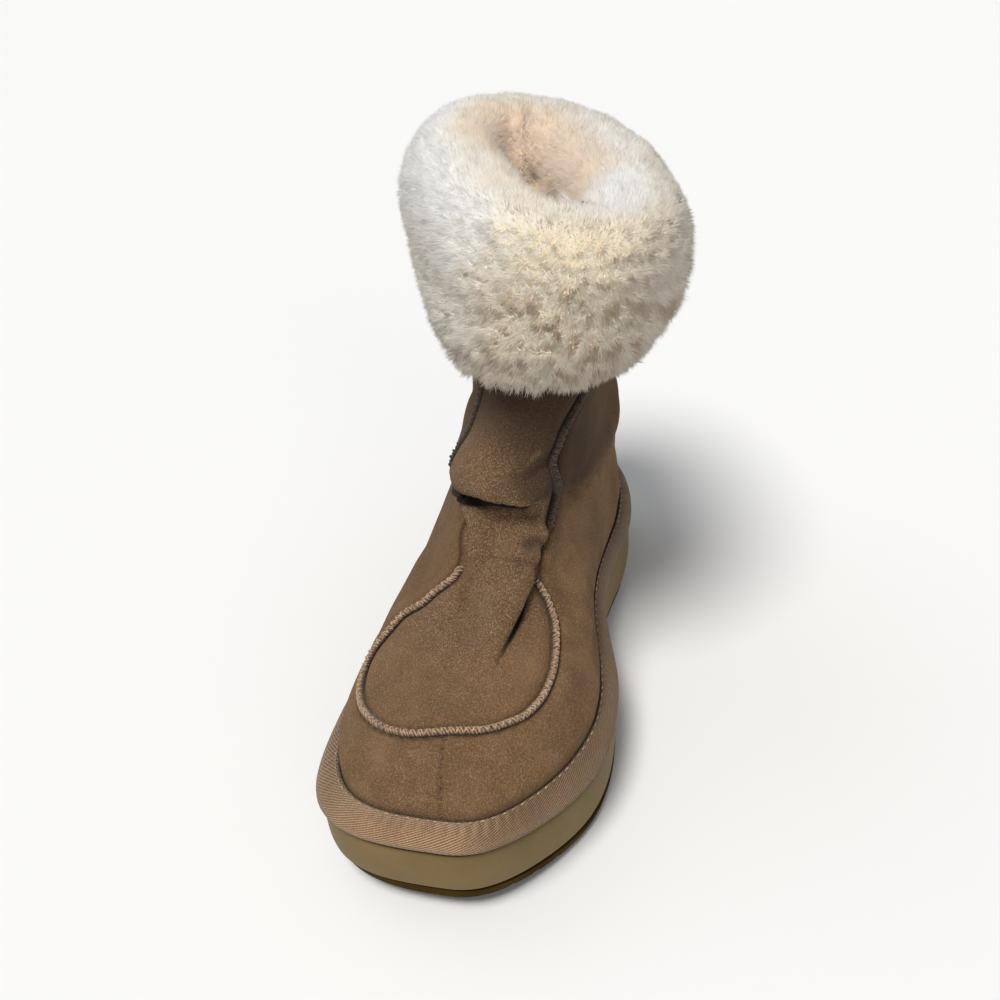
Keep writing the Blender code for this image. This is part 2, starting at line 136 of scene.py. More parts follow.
# Value of a grid (rows, columns, ...) at fractional rows and columns; columns wrap round.
def readGrid(grid, row, column):
    rows, columns = grid.shape[:2]
    lowRow = np.clip(np.floor(row).astype(int), 0, rows - 2)
    rowShare = np.clip(row - lowRow, 0.0, 1.0)
    lowColumn = np.floor(column).astype(int)
    columnShare = column - lowColumn
    if grid.ndim > 2:
        rowShare = rowShare[..., None]
        columnShare = columnShare[..., None]
    left = lowColumn % columns
    right = (lowColumn + 1) % columns
    low = grid[lowRow, left] * (1 - columnShare) + grid[lowRow, right] * columnShare
    high = grid[lowRow + 1, left] * (1 - columnShare) + grid[lowRow + 1, right] * columnShare
    return low * (1 - rowShare) + high * rowShare


# Quads of a grid of vertices; ring closes the columns, tube closes the rows.
def gridFaces(rows, columns, ring=True, tube=False, flip=False):
    row = np.arange(rows if tube else rows - 1)[:, None]
    column = np.arange(columns if ring else columns - 1)[None, :]
    nextRow = (row + 1) % rows
    nextColumn = (column + 1) % columns
    corners = [row * columns + column, row * columns + nextColumn,
               nextRow * columns + nextColumn, nextRow * columns + column]
    if flip:
        corners.reverse()
    return np.stack(corners, axis=-1).reshape(-1, 4)


# A mesh piece from points and faces; uv is given for each vertex or for each corner of the faces.
def makePiece(name, points, faces, material, uv=None, attributes=None, replaces=()):
    mesh = bpy.data.meshes.new(name)
    place = toWorld(points)
    mesh.vertices.add(len(place))
    mesh.vertices.foreach_set("co", place.ravel())
    mesh.loops.add(faces.size)
    mesh.loops.foreach_set("vertex_index", faces.ravel().astype(np.int32))
    mesh.polygons.add(len(faces))
    mesh.polygons.foreach_set("loop_start", np.arange(0, faces.size, faces.shape[1], dtype=np.int32))
    mesh.polygons.foreach_set("use_smooth", np.ones(len(faces), bool))
    if uv is not None:
        layer = mesh.uv_layers.new(name="UVMap")
        uv = np.asarray(uv).reshape(-1, 2)
        corners = uv if len(uv) == faces.size else uv[faces.ravel()]
        layer.data.foreach_set("uv", corners.ravel())
    for label, values in (attributes or {}).items():
        attribute = mesh.attributes.new(label, "FLOAT", "POINT")
        attribute.data.foreach_set("value", np.asarray(values, np.float32).ravel())
    mesh.update(calc_edges=True)
    mesh.validate()
    mesh.materials.append(material)
    piece = bpy.data.objects.new(name, mesh)
    bpy.context.scene.collection.objects.link(piece)
    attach(piece, "root")
    if replaces:
        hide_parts(*replaces)
    print(name, len(faces), "faces")
    return piece


# Merges coincident points and turns all faces outwards.
def closeUp(piece):
    shape = bmesh.new()
    shape.from_mesh(piece.data)
    bmesh.ops.remove_doubles(shape, verts=shape.verts, dist=0.01 * mm)
    bmesh.ops.recalc_face_normals(shape, faces=shape.faces)
    shape.to_mesh(piece.data)
    shape.free()


# A profile carried along a path: each section point is (across, up), measured along the path's
# sideways direction and its normal.
def sweep(path, normals, across, up):
    along = unit(np.gradient(path, axis=0))
    side = unit(np.cross(along, normals))
    out = unit(np.cross(side, along))
    return path[:, None] + side[:, None] * across[..., None] + out[:, None] * up[..., None]


# Short threads from start to end: the middle line is an arc that rises by rise along the normal, and
# the thickness closes to nothing at both ends. dim is the painted shade on each thread.
def makeStrands(name, start, end, normal, rise, radius, material, sides=6, dim=None):
    steps = 7
    count = len(start)
    normal = normal[:, None]
    share = np.linspace(0.0, 1.0, steps)[None, :, None]
    middle = start[:, None] * (1 - share) + end[:, None] * share + normal * rise * np.sin(np.pi * share)
    along = unit(np.gradient(middle, axis=1))
    side = unit(np.cross(along, normal))
    out = np.cross(side, along)
    thick = radius * np.sqrt(np.clip(1.0 - (2.0 * share - 1.0)**6, 0.0, 1.0))
    angle = np.linspace(0.0, 2 * np.pi, sides, endpoint=False)[:, None]
    ring = side[:, :, None] * np.cos(angle) + out[:, :, None] * np.sin(angle)
    points = middle[:, :, None] + ring * thick[:, :, None]
    first = (np.arange(count) * steps * sides)[:, None, None]
    faces = (gridFaces(steps, sides)[None] + first).reshape(-1, 4)
    uv = np.zeros((count, steps, sides, 2))
    uv[..., 0] = angle[:, 0] / (2 * np.pi)
    uv[..., 1] = share
    attributes = {} if dim is None else {"dim": np.repeat(dim, steps * sides)}
    makePiece(name, points, faces, material, uv=uv, attributes=attributes)


# The nodes of one material; its patterns read Object coordinates or attributes of the mesh.
class Shader:
    def __init__(self, name, roughness, specular, sheen=0.0, sheenTint=(1, 1, 1)):
        self.material = bpy.data.materials.new(name)
        self.material.use_nodes = True
        self.tree = self.material.node_tree
        self.surface = self.tree.nodes["Principled BSDF"]
        self.surface.inputs["Roughness"].default_value = roughness
        self.surface.inputs["Specular IOR Level"].default_value = specular
        self.surface.inputs["Sheen Weight"].default_value = sheen
        self.surface.inputs["Sheen Tint"].default_value = (*sheenTint, 1)
        self.where = self.add("ShaderNodeTexCoord").outputs["Object"]

    def add(self, kind, inputs=None, **settings):
        node = self.tree.nodes.new(kind)
        for label, value in settings.items():
            setattr(node, label, value)
        for label, value in (inputs or {}).items():
            if isinstance(value, bpy.types.NodeSocket):
                self.tree.links.new(value, node.inputs[label])
            else:
                node.inputs[label].default_value = value
        return node

    # size is the width of one blotch in millimetres
    def noise(self, size, detail=3.0, roughness=0.55):
        node = self.add("ShaderNodeTexNoise", {"Vector": self.where, "Scale": 1000.0 / size,
                                               "Detail": detail, "Roughness": roughness})
        return node.outputs["Fac"]

    def attribute(self, label):
        return self.add("ShaderNodeAttribute", attribute_name=label).outputs["Fac"]

    def product(self, first, second):
        return self.add("ShaderNodeMath", {0: first, 1: second}, operation="MULTIPLY").outputs[0]

    # value from low..high to 0..top, held at the ends
    def remap(self, value, low, high, top=1.0):
        node = self.add("ShaderNodeMapRange", {"Value": value, "From Min": low, "From Max": high,
                                               "To Min": 0.0, "To Max": top})
        return node.outputs["Result"]

    # first at share 0, second at share 1; each may be a colour or a socket
    def mix(self, share, first, second):
        first, second = [value if isinstance(value, bpy.types.NodeSocket) else (*value, 1)
                         for value in (first, second)]
        return self.add("ShaderNodeMix", {0: share, 6: first, 7: second}, data_type="RGBA").outputs[2]

    # first turned into second while value goes from low to high, by at most top
    def blend(self, value, low, high, first, second, top=1.0):
        return self.mix(self.remap(value, low, high, top), first, second)

    # first turned into second by an attribute of the mesh, by at most top
    def tint(self, label, first, second, top=1.0):
        if top < 1.0:
            second = self.mix(top, first, second)
        return self.mix(self.attribute(label), first, second)

    # each relief is (height value, depth in millimetres)
    def finish(self, colour, *reliefs):
        self.tree.links.new(colour, self.surface.inputs["Base Color"])
        normal = {}
        for height, depth in reliefs:
            node = self.add("ShaderNodeBump", {"Height": height, "Strength": 1.0, "Distance": depth * mm,
                                               **normal})
            normal = {"Normal": node.outputs["Normal"]}
        if reliefs:
            self.tree.links.new(normal["Normal"], self.surface.inputs["Normal"])
        return self.material


suede = {
    "base": (0.229, 0.126, 0.053),
    "dark": (0.123, 0.066, 0.029),
    "light": (0.287, 0.172, 0.086),
    "fleck": (0.420, 0.305, 0.215),
    # The next two are painted shade: near black in fold troughs, beside seams and at corners, and dark brown
    # on the shaded shaft and quarters.
    "crease": (0.008, 0.004, 0.003),
    "shade": (0.036, 0.021, 0.014),
    "plug": (0.210, 0.120, 0.063),
}


# Broad blotches of brown, pale and dark flecks of the nap, then rubs and painted shade kept on the mesh.
def makeSuede():
    look = Shader("chestnut suede", 0.95, 0.08, sheen=0.08, sheenTint=(1.0, 0.84, 0.66))
    patch = look.noise(9.0, 5.0, 0.6)
    nap = look.noise(0.55, 2.0, 0.65)
    strength = look.attribute("nap")
    pale = look.product(look.remap(nap, 0.51, 0.65, 0.85), strength)
    deep = look.product(look.remap(nap, 0.50, 0.34, 0.95), strength)
    colour = look.blend(look.noise(38.0, 4.0), 0.30, 0.66, suede["dark"], suede["base"])
    colour = look.blend(patch, 0.42, 0.75, colour, suede["light"], 0.6)
    colour = look.tint("panel", colour, suede["plug"], 0.3)
    colour = look.mix(pale, colour, suede["fleck"])
    colour = look.mix(deep, colour, suede["dark"])
    colour = look.tint("rub", colour, suede["light"])
    colour = look.tint("dim", colour, suede["shade"])
    colour = look.tint("crease", colour, suede["crease"])
    return look.finish(colour, (patch, 0.5), (nap, 1.0), (look.noise(0.6, 2.0, 0.6), 0.25))


thread = {
    "base": (0.250, 0.152, 0.086),
    "light": (0.560, 0.400, 0.270),
    "dark": (0.070, 0.037, 0.020),
    # painted shade for the seam where it runs up the shaded shaft
    "shade": (0.016, 0.009, 0.007),
}


# Pale and dark patches along the twisted thread, and painted shade kept on the mesh.
def makeThread():
    look = Shader("tan thread", 0.70, 0.3, sheen=0.2)
    colour = look.blend(look.noise(0.9), 0.35, 0.65, thread["base"], thread["light"])
    colour = look.blend(look.noise(9.0), 0.55, 0.75, colour, thread["dark"], 0.5)
    colour = look.tint("dim", colour, thread["shade"])
    return look.finish(colour, (look.noise(0.35, 2.0), 0.12))


# The rolled leather edge under the thread, with painted shade where it meets the upper.
def makeBead():
    look = Shader("rolled seam", 0.85, 0.2, sheen=0.2)
    fleck = look.noise(1.0, 3.0, 0.65)
    colour = look.blend(fleck, 0.35, 0.65, thread["dark"], thread["base"])
    colour = look.tint("crease", colour, suede["crease"])
    return look.finish(colour, (fleck, 0.35))


tape = {
    "base": (0.365, 0.215, 0.100),
    "light": (0.730, 0.485, 0.270),
    "dark": (0.200, 0.110, 0.053),
    # painted shade at the tape's edges, low down, on its sides and in the dips of its top edge
    "gap": (0.060, 0.030, 0.012),
    "ribPitch": 0.85,        # mm
    "slant": -24.0,          # degrees between the ribs and the tape's length
}


# Slanting ribs and finer picks across them, both waves over the tape's own map, a little fuzz, and
# painted shade.
def makeTwill():
    look = Shader("tan twill", 0.80, 0.25, sheen=0.3, sheenTint=(1.0, 0.9, 0.8))
    flat = look.add("ShaderNodeUVMap", uv_map="UVMap").outputs["UV"]
    turn = (0, 0, np.radians(tape["slant"]))
    turned = look.add("ShaderNodeMapping", {"Vector": flat, "Rotation": turn}).outputs[0]
    scale = 2 * np.pi / 20 / tape["ribPitch"]
    rib = look.add("ShaderNodeTexWave", {"Vector": turned, "Scale": scale, "Distortion": 0.5, "Detail": 1.0,
                                         "Detail Scale": 0.5}, bands_direction="Y").outputs["Fac"]
    picks = look.add("ShaderNodeTexWave", {"Vector": turned, "Scale": 0.7 * scale, "Distortion": 1.2},
                     bands_direction="X").outputs["Fac"]
    fuzz = look.noise(0.6, 2.0)
    colour = look.blend(rib, 0.05, 0.60, tape["dark"], tape["base"])
    colour = look.blend(rib, 0.50, 1.0, colour, tape["light"], 0.7)
    colour = look.blend(picks, 0.35, 0.0, colour, tape["dark"], 0.30)
    colour = look.blend(look.noise(12.0), 0.4, 0.7, colour, tape["dark"], 0.35)
    colour = look.blend(fuzz, 0.5, 0.8, colour, tape["light"], 0.30)
    colour = look.tint("crease", colour, tape["gap"])
    return look.finish(colour, (rib, 0.40), (picks, 0.12), (fuzz, 0.12))


# dark serves for specks, and as painted shade along the top and bottom of the wall
foam = {"base": (0.158, 0.101, 0.031), "light": (0.190, 0.127, 0.044), "dark": (0.085, 0.051, 0.017)}


# Two close khakis with dark specks, painted shade kept on the mesh, and a soft relief.
def makeFoam():
    look = Shader("khaki foam", 0.62, 0.35)
    speck = look.noise(1.4, 4.0, 0.7)
    colour = look.blend(look.noise(26.0, 4.0), 0.3, 0.7, foam["base"], foam["light"])
    colour = look.blend(speck, 0.60, 0.75, colour, foam["dark"], 0.5)
    colour = look.tint("crease", colour, foam["dark"])
    return look.finish(colour, (look.noise(6.0, 2.0), 0.25), (speck, 0.06))


rubber = {"base": (0.040, 0.022, 0.002), "light": (0.066, 0.038, 0.005)}


# Olive with faint lighter patches.
def makeRubber():
    look = Shader("olive rubber", 0.9, 0.06)
    colour = look.blend(look.noise(18.0, 4.0), 0.35, 0.7, rubber["base"], rubber["light"])
    return look.finish(colour, (look.noise(0.8), 0.06))


wool = {
    "root": (0.620, 0.510, 0.360),
    "middle": (0.860, 0.785, 0.660),
    "tip": (0.905, 0.872, 0.810),
    # warm is for warmer patches, and as painted shade for the lower wool; gap is painted shade
    "warm": (0.860, 0.780, 0.590),
    "gap": (0.440, 0.325, 0.205),
    "pink": (0.720, 0.530, 0.395),
    # painted light on the wool that faces up and to the outer side
    "paintedLight": (0.900, 0.920, 0.945),
    "glow": 0.07,            # painted light, a glow at this share of its colour, for light passed from hair to hair
}


# A hair runs from its root colour to a pale tip. The attribute tone warms patches, and the lower wool as
# painted shade; gap is painted shade between the clumps, away from the light, low down and at the hem;
# painted light whitens the rim where it faces the light; inside tints the wool in the shaft. The wool
# also glows a little, as painted light.
def makePile():
    look = Shader("cream wool pile", 1.0, 0.05, sheen=0.25, sheenTint=(1.0, 0.97, 0.92))
    along = look.attribute("along")
    colour = look.blend(along, 0.0, 0.5, wool["root"], wool["middle"])
    colour = look.blend(along, 0.35, 1.0, colour, wool["tip"])
    for label, tone, top in (("tone", "warm", 0.55), ("gap", "gap", 0.80), ("paintedLight", "paintedLight", 0.75),
                             ("inside", "pink", 0.58)):
        colour = look.tint(label, colour, wool[tone], top)
    # Painted light: the wool glows by a share of its own colour.
    look.tree.links.new(colour, look.surface.inputs["Emission Color"])
    look.surface.inputs["Emission Strength"].default_value = wool["glow"]
    return look.finish(colour)


# Short wool in tufts, pinker inside the shaft.
def makeFleece():
    look = Shader("wool skin", 1.0, 0.1, sheen=0.3, sheenTint=(1.0, 0.95, 0.88))
    tuft = look.noise(2.2, 4.0, 0.65)
    colour = look.blend(tuft, 0.3, 0.7, wool["root"], wool["middle"])
    colour = look.tint("inside", colour, wool["pink"], 0.6)
    return look.finish(colour, (tuft, 1.2))


suedeFinish = makeSuede()
threadFinish = makeThread()
beadFinish = makeBead()
twillFinish = makeTwill()
foamFinish = makeFoam()
rubberFinish = makeRubber()
pileFinish = makePile()
fleeceFinish = makeFleece()
print("materials ready")


last = {
    "toeSwing": 2.5,
    "littleToe": 0.18,       # share by which the toe is fuller at the little-toe corner
    "bigToe": 0.29,          # share by which it is cut away at the big-toe corner
    "squareness": 3.0,
    "outsoleHeight": 5.8,
    "midsoleHeight": 20.0,
    "heelLift": 3.0,
    "heelLiftFrom": 70.0,
    "heelLiftTo": 220.0,
    "gap": 0.85,
    "bindingHeight": 10.2,
    "bindingBulge": 1.4,
    # run as a share of the length, half width on the outer and on the inner side
    "plan": [(0.00, 67.3, 37.3), (0.20, 56.8, 52.6), (0.35, 51.0, 50.5),
             (0.55, 40.5, 37.0), (0.82, 42.0, 42.0), (1.00, 41.0, 41.0)],
    # run, height of the tread above the floor
    "tread": [(0.0, 8.0), (20.0, 3.6), (42.0, 0.5), (58.0, 0.0), (112.0, 0.0), (130.0, 1.8),
              (152.0, 3.0), (176.0, 1.8), (194.0, 0.0), (250.0, 0.0), (262.0, 1.5)],
    "widthPlaces": (0.0, 0.22, 0.54, 0.84, 1.0),
    # front run, front height, back run, back height, half widths: heel, waist outer and inner, ball
    # outer and inner, squareness, lean, twist in degrees, tilt; one row for each ring from the sole up
    "rings": [
        (5.5, 34.2, 257.0, 34.2, 37.0, 36.0, 33.0, 50.0, 47.4, 3.00, 0.0, 0, 0),
        (8.0, 43.0, 257.0, 43.0, 37.2, 36.2, 33.4, 49.5, 46.9, 3.00, 0.0, 0, 0),
        (10.5, 51.0, 258.5, 50.0, 37.6, 36.6, 34.0, 49.0, 46.2, 2.90, 0.0, 0, 0),
        (19.0, 57.5, 259.0, 55.5, 37.4, 36.2, 34.2, 45.5, 44.2, 2.75, 0.0, 0, 0),
        (31.0, 61.0, 259.0, 60.0, 37.0, 35.6, 34.0, 41.0, 40.0, 2.60, 0.0, 0, 0),
        (50.0, 64.5, 258.5, 64.5, 36.4, 34.8, 33.6, 36.5, 36.0, 2.50, 0.0, 0, 0),
        (69.0, 69.5, 257.5, 69.0, 35.6, 33.8, 33.0, 33.2, 32.7, 2.45, 0.5, 0, 0),
        (85.0, 78.5, 256.0, 76.0, 34.8, 32.8, 32.4, 30.5, 30.0, 2.40, 1.5, 0, 0),
        (96.0, 90.0, 254.0, 86.0, 34.2, 31.6, 32.2, 28.2, 29.0, 2.40, 2.5, 1, 0),
        (106.5, 102.5, 251.0, 99.0, 33.6, 30.4, 31.6, 26.5, 28.0, 2.40, 3.2, 3, 0),
        (103.0, 112.5, 249.5, 110.0, 33.0, 30.4, 31.2, 27.6, 28.6, 2.45, 4.0, 5, 0),
        (110.0, 130.0, 248.0, 130.0, 32.4, 28.0, 31.0, 25.0, 28.0, 2.50, 5.2, 8, 1),
        (115.0, 155.0, 247.0, 155.0, 32.0, 27.5, 31.0, 25.5, 29.0, 2.50, 8.0, 14, 2),
        (119.0, 182.0, 246.0, 182.0, 32.0, 29.5, 32.0, 28.0, 30.0, 2.50, 11.5, 20, 4),
        (121.0, 209.0, 245.0, 209.0, 32.0, 32.5, 32.5, 31.0, 31.0, 2.50, 14.0, 25, 5),
    ],
}
topLevel = len(last["rings"]) - 1.0
collarHeight = last["rings"][-1][1]


# Half width of a superellipse of width 2 at a share of its length.
def rounding(share, squareness):
    return np.maximum(1.0 - np.abs(1.0 - 2.0 * share)**squareness, 0.0)**(1.0 / squareness)


# Shares of the sole's length that cut its outline into count steps; crowd above 1 packs them
# towards the toe.
def stations(count, crowd=1.0):
    share = (1.0 - np.cos(np.linspace(0.0, np.pi, 4001))) / 2.0
    plan = np.array(last["plan"])
    width = smoothCurve(plan[:, 0], plan[:, 1:].mean(axis=1), share) * rounding(share, last["squareness"])
    travel = np.concatenate([[0.0], np.cumsum(np.hypot(np.diff(width), np.diff(share * soleLength)))])
    step = np.linspace(0.0, 1.0, count + 1)
    step = (2.0 - crowd) * step + (crowd - 1.0) * step**2
    return np.interp(step * travel[-1], travel, share)


# Rings from half widths given at each station: toe, inner side to the heel, outer side back.
def closeRings(run, outer, inner, height):
    shift = last["toeSwing"] * np.maximum(1.0 - run / soleLength, 0.0)**2
    side = np.concatenate([inner + shift, (shift - outer)[..., -2:0:-1]], axis=-1)
    return np.stack([side, np.concatenate([run, run[..., -2:0:-1]], axis=-1),
                     np.concatenate([height, height[..., -2:0:-1]], axis=-1)], axis=-1)


# The inner and the outer side of a ring, each from the toe to the heel.
def halves(ring):
    count = len(ring) // 2 + 1
    return ring[:count], np.roll(ring[::-1], 1, axis=0)[:count]


# Height of the tread: a smooth curve through the table. The midsole starts one outsole above it, and
# its top rises evenly towards the heel.
def treadHeight(run):
    table = np.array(last["tread"])
    return smoothCurve(table[:, 0], table[:, 1], run).clip(0.0)


def midsoleBottom(run):
    return treadHeight(run) + last["outsoleHeight"]


def midsoleTop(run):
    lift = np.clip((run - last["heelLiftFrom"]) / (last["heelLiftTo"] - last["heelLiftFrom"]), 0.0, 1.0)
    return midsoleBottom(run) + last["midsoleHeight"] + last["heelLift"] * lift


# Outlines of the sole drawn in by inset, by toeInset more at the toe and by innerFlare less on the
# inner side in front; one ring for each inset.
def soleRings(share, inset, toeInset, innerFlare=0.0):
    inset = np.asarray(inset, float)[:, None]
    front = inset + np.asarray(toeInset, float)[:, None]
    run = front + (soleLength - front - inset) * share
    plan = np.array(last["plan"])
    widths = smoothCurve(plan[:, 0], plan[:, 1:], share) * rounding(share, last["squareness"])[:, None]
    flare = np.reshape(innerFlare, (-1, 1)) * np.clip(1.4 - 2.0 * share, 0.0, 1.0)
    drawnIn = np.stack([inset + 0.0 * flare, inset - flare], axis=-1)
    widths = widths[None] * np.clip(1.0 - drawnIn / np.maximum(widths[None], 1.0), 0.0, None)
    return closeRings(run, widths[..., 0], widths[..., 1], 0.0 * run)


# Rings of the upper's outer face: a ring is a superellipse between its front and back points, with
# half widths that change along it, then leaned, twisted and tilted.
def upperRings(levels, share):
    table = np.array(last["rings"])
    row = smoothCurve(np.arange(len(table)), table, levels).T[..., None]
    (frontRun, frontHeight, backRun, backHeight, heel, waistOuter, waistInner, ballOuter, ballInner,
     squareness, lean, twist, tilt) = row
    run = frontRun + (backRun - frontRun) * share
    follow = np.clip(1.0 - np.asarray(levels) / 5.0, 0.0, 1.0)[:, None]
    height = frontHeight + (backHeight - frontHeight) * share
    height = height + follow * (midsoleTop(run) + last["gap"] - table[0, 1])
    end = rounding(share, squareness)
    outerToe = ballOuter * (1 + last["littleToe"] * follow)
    innerToe = ballInner * (1 - last["bigToe"] * follow)
    places = np.array(last["widthPlaces"])
    weights = smoothCurve(places, np.eye(5), share)
    outer = np.stack([outerToe, ballOuter, waistOuter, heel, heel])[..., 0]
    inner = np.stack([innerToe, ballInner, waistInner, heel, heel])[..., 0]
    outer = end * np.einsum("kl,sk->ls", outer, weights)
    inner = end * np.einsum("kl,sk->ls", inner, weights)
    ring = closeRings(run, outer, inner, height)
    middle = (frontRun + backRun) / 2.0
    turn = np.radians(twist)
    side = ring[..., 0]
    along = ring[..., 1] - middle
    turned = np.stack([side * np.cos(turn) - along * np.sin(turn) + lean,
                       side * np.sin(turn) + along * np.cos(turn) + middle, ring[..., 2]], axis=-1)
    turned[..., 2] -= tilt * (turned[..., 0] - lean) / waistInner
    return turned


# Horizontal unit vectors that point out of each ring.
def planNormals(rings):
    along = np.roll(rings, -1, axis=-2) - np.roll(rings, 1, axis=-2)
    return unit(np.stack([along[..., 1], -along[..., 0], 0 * along[..., 0]], axis=-1))


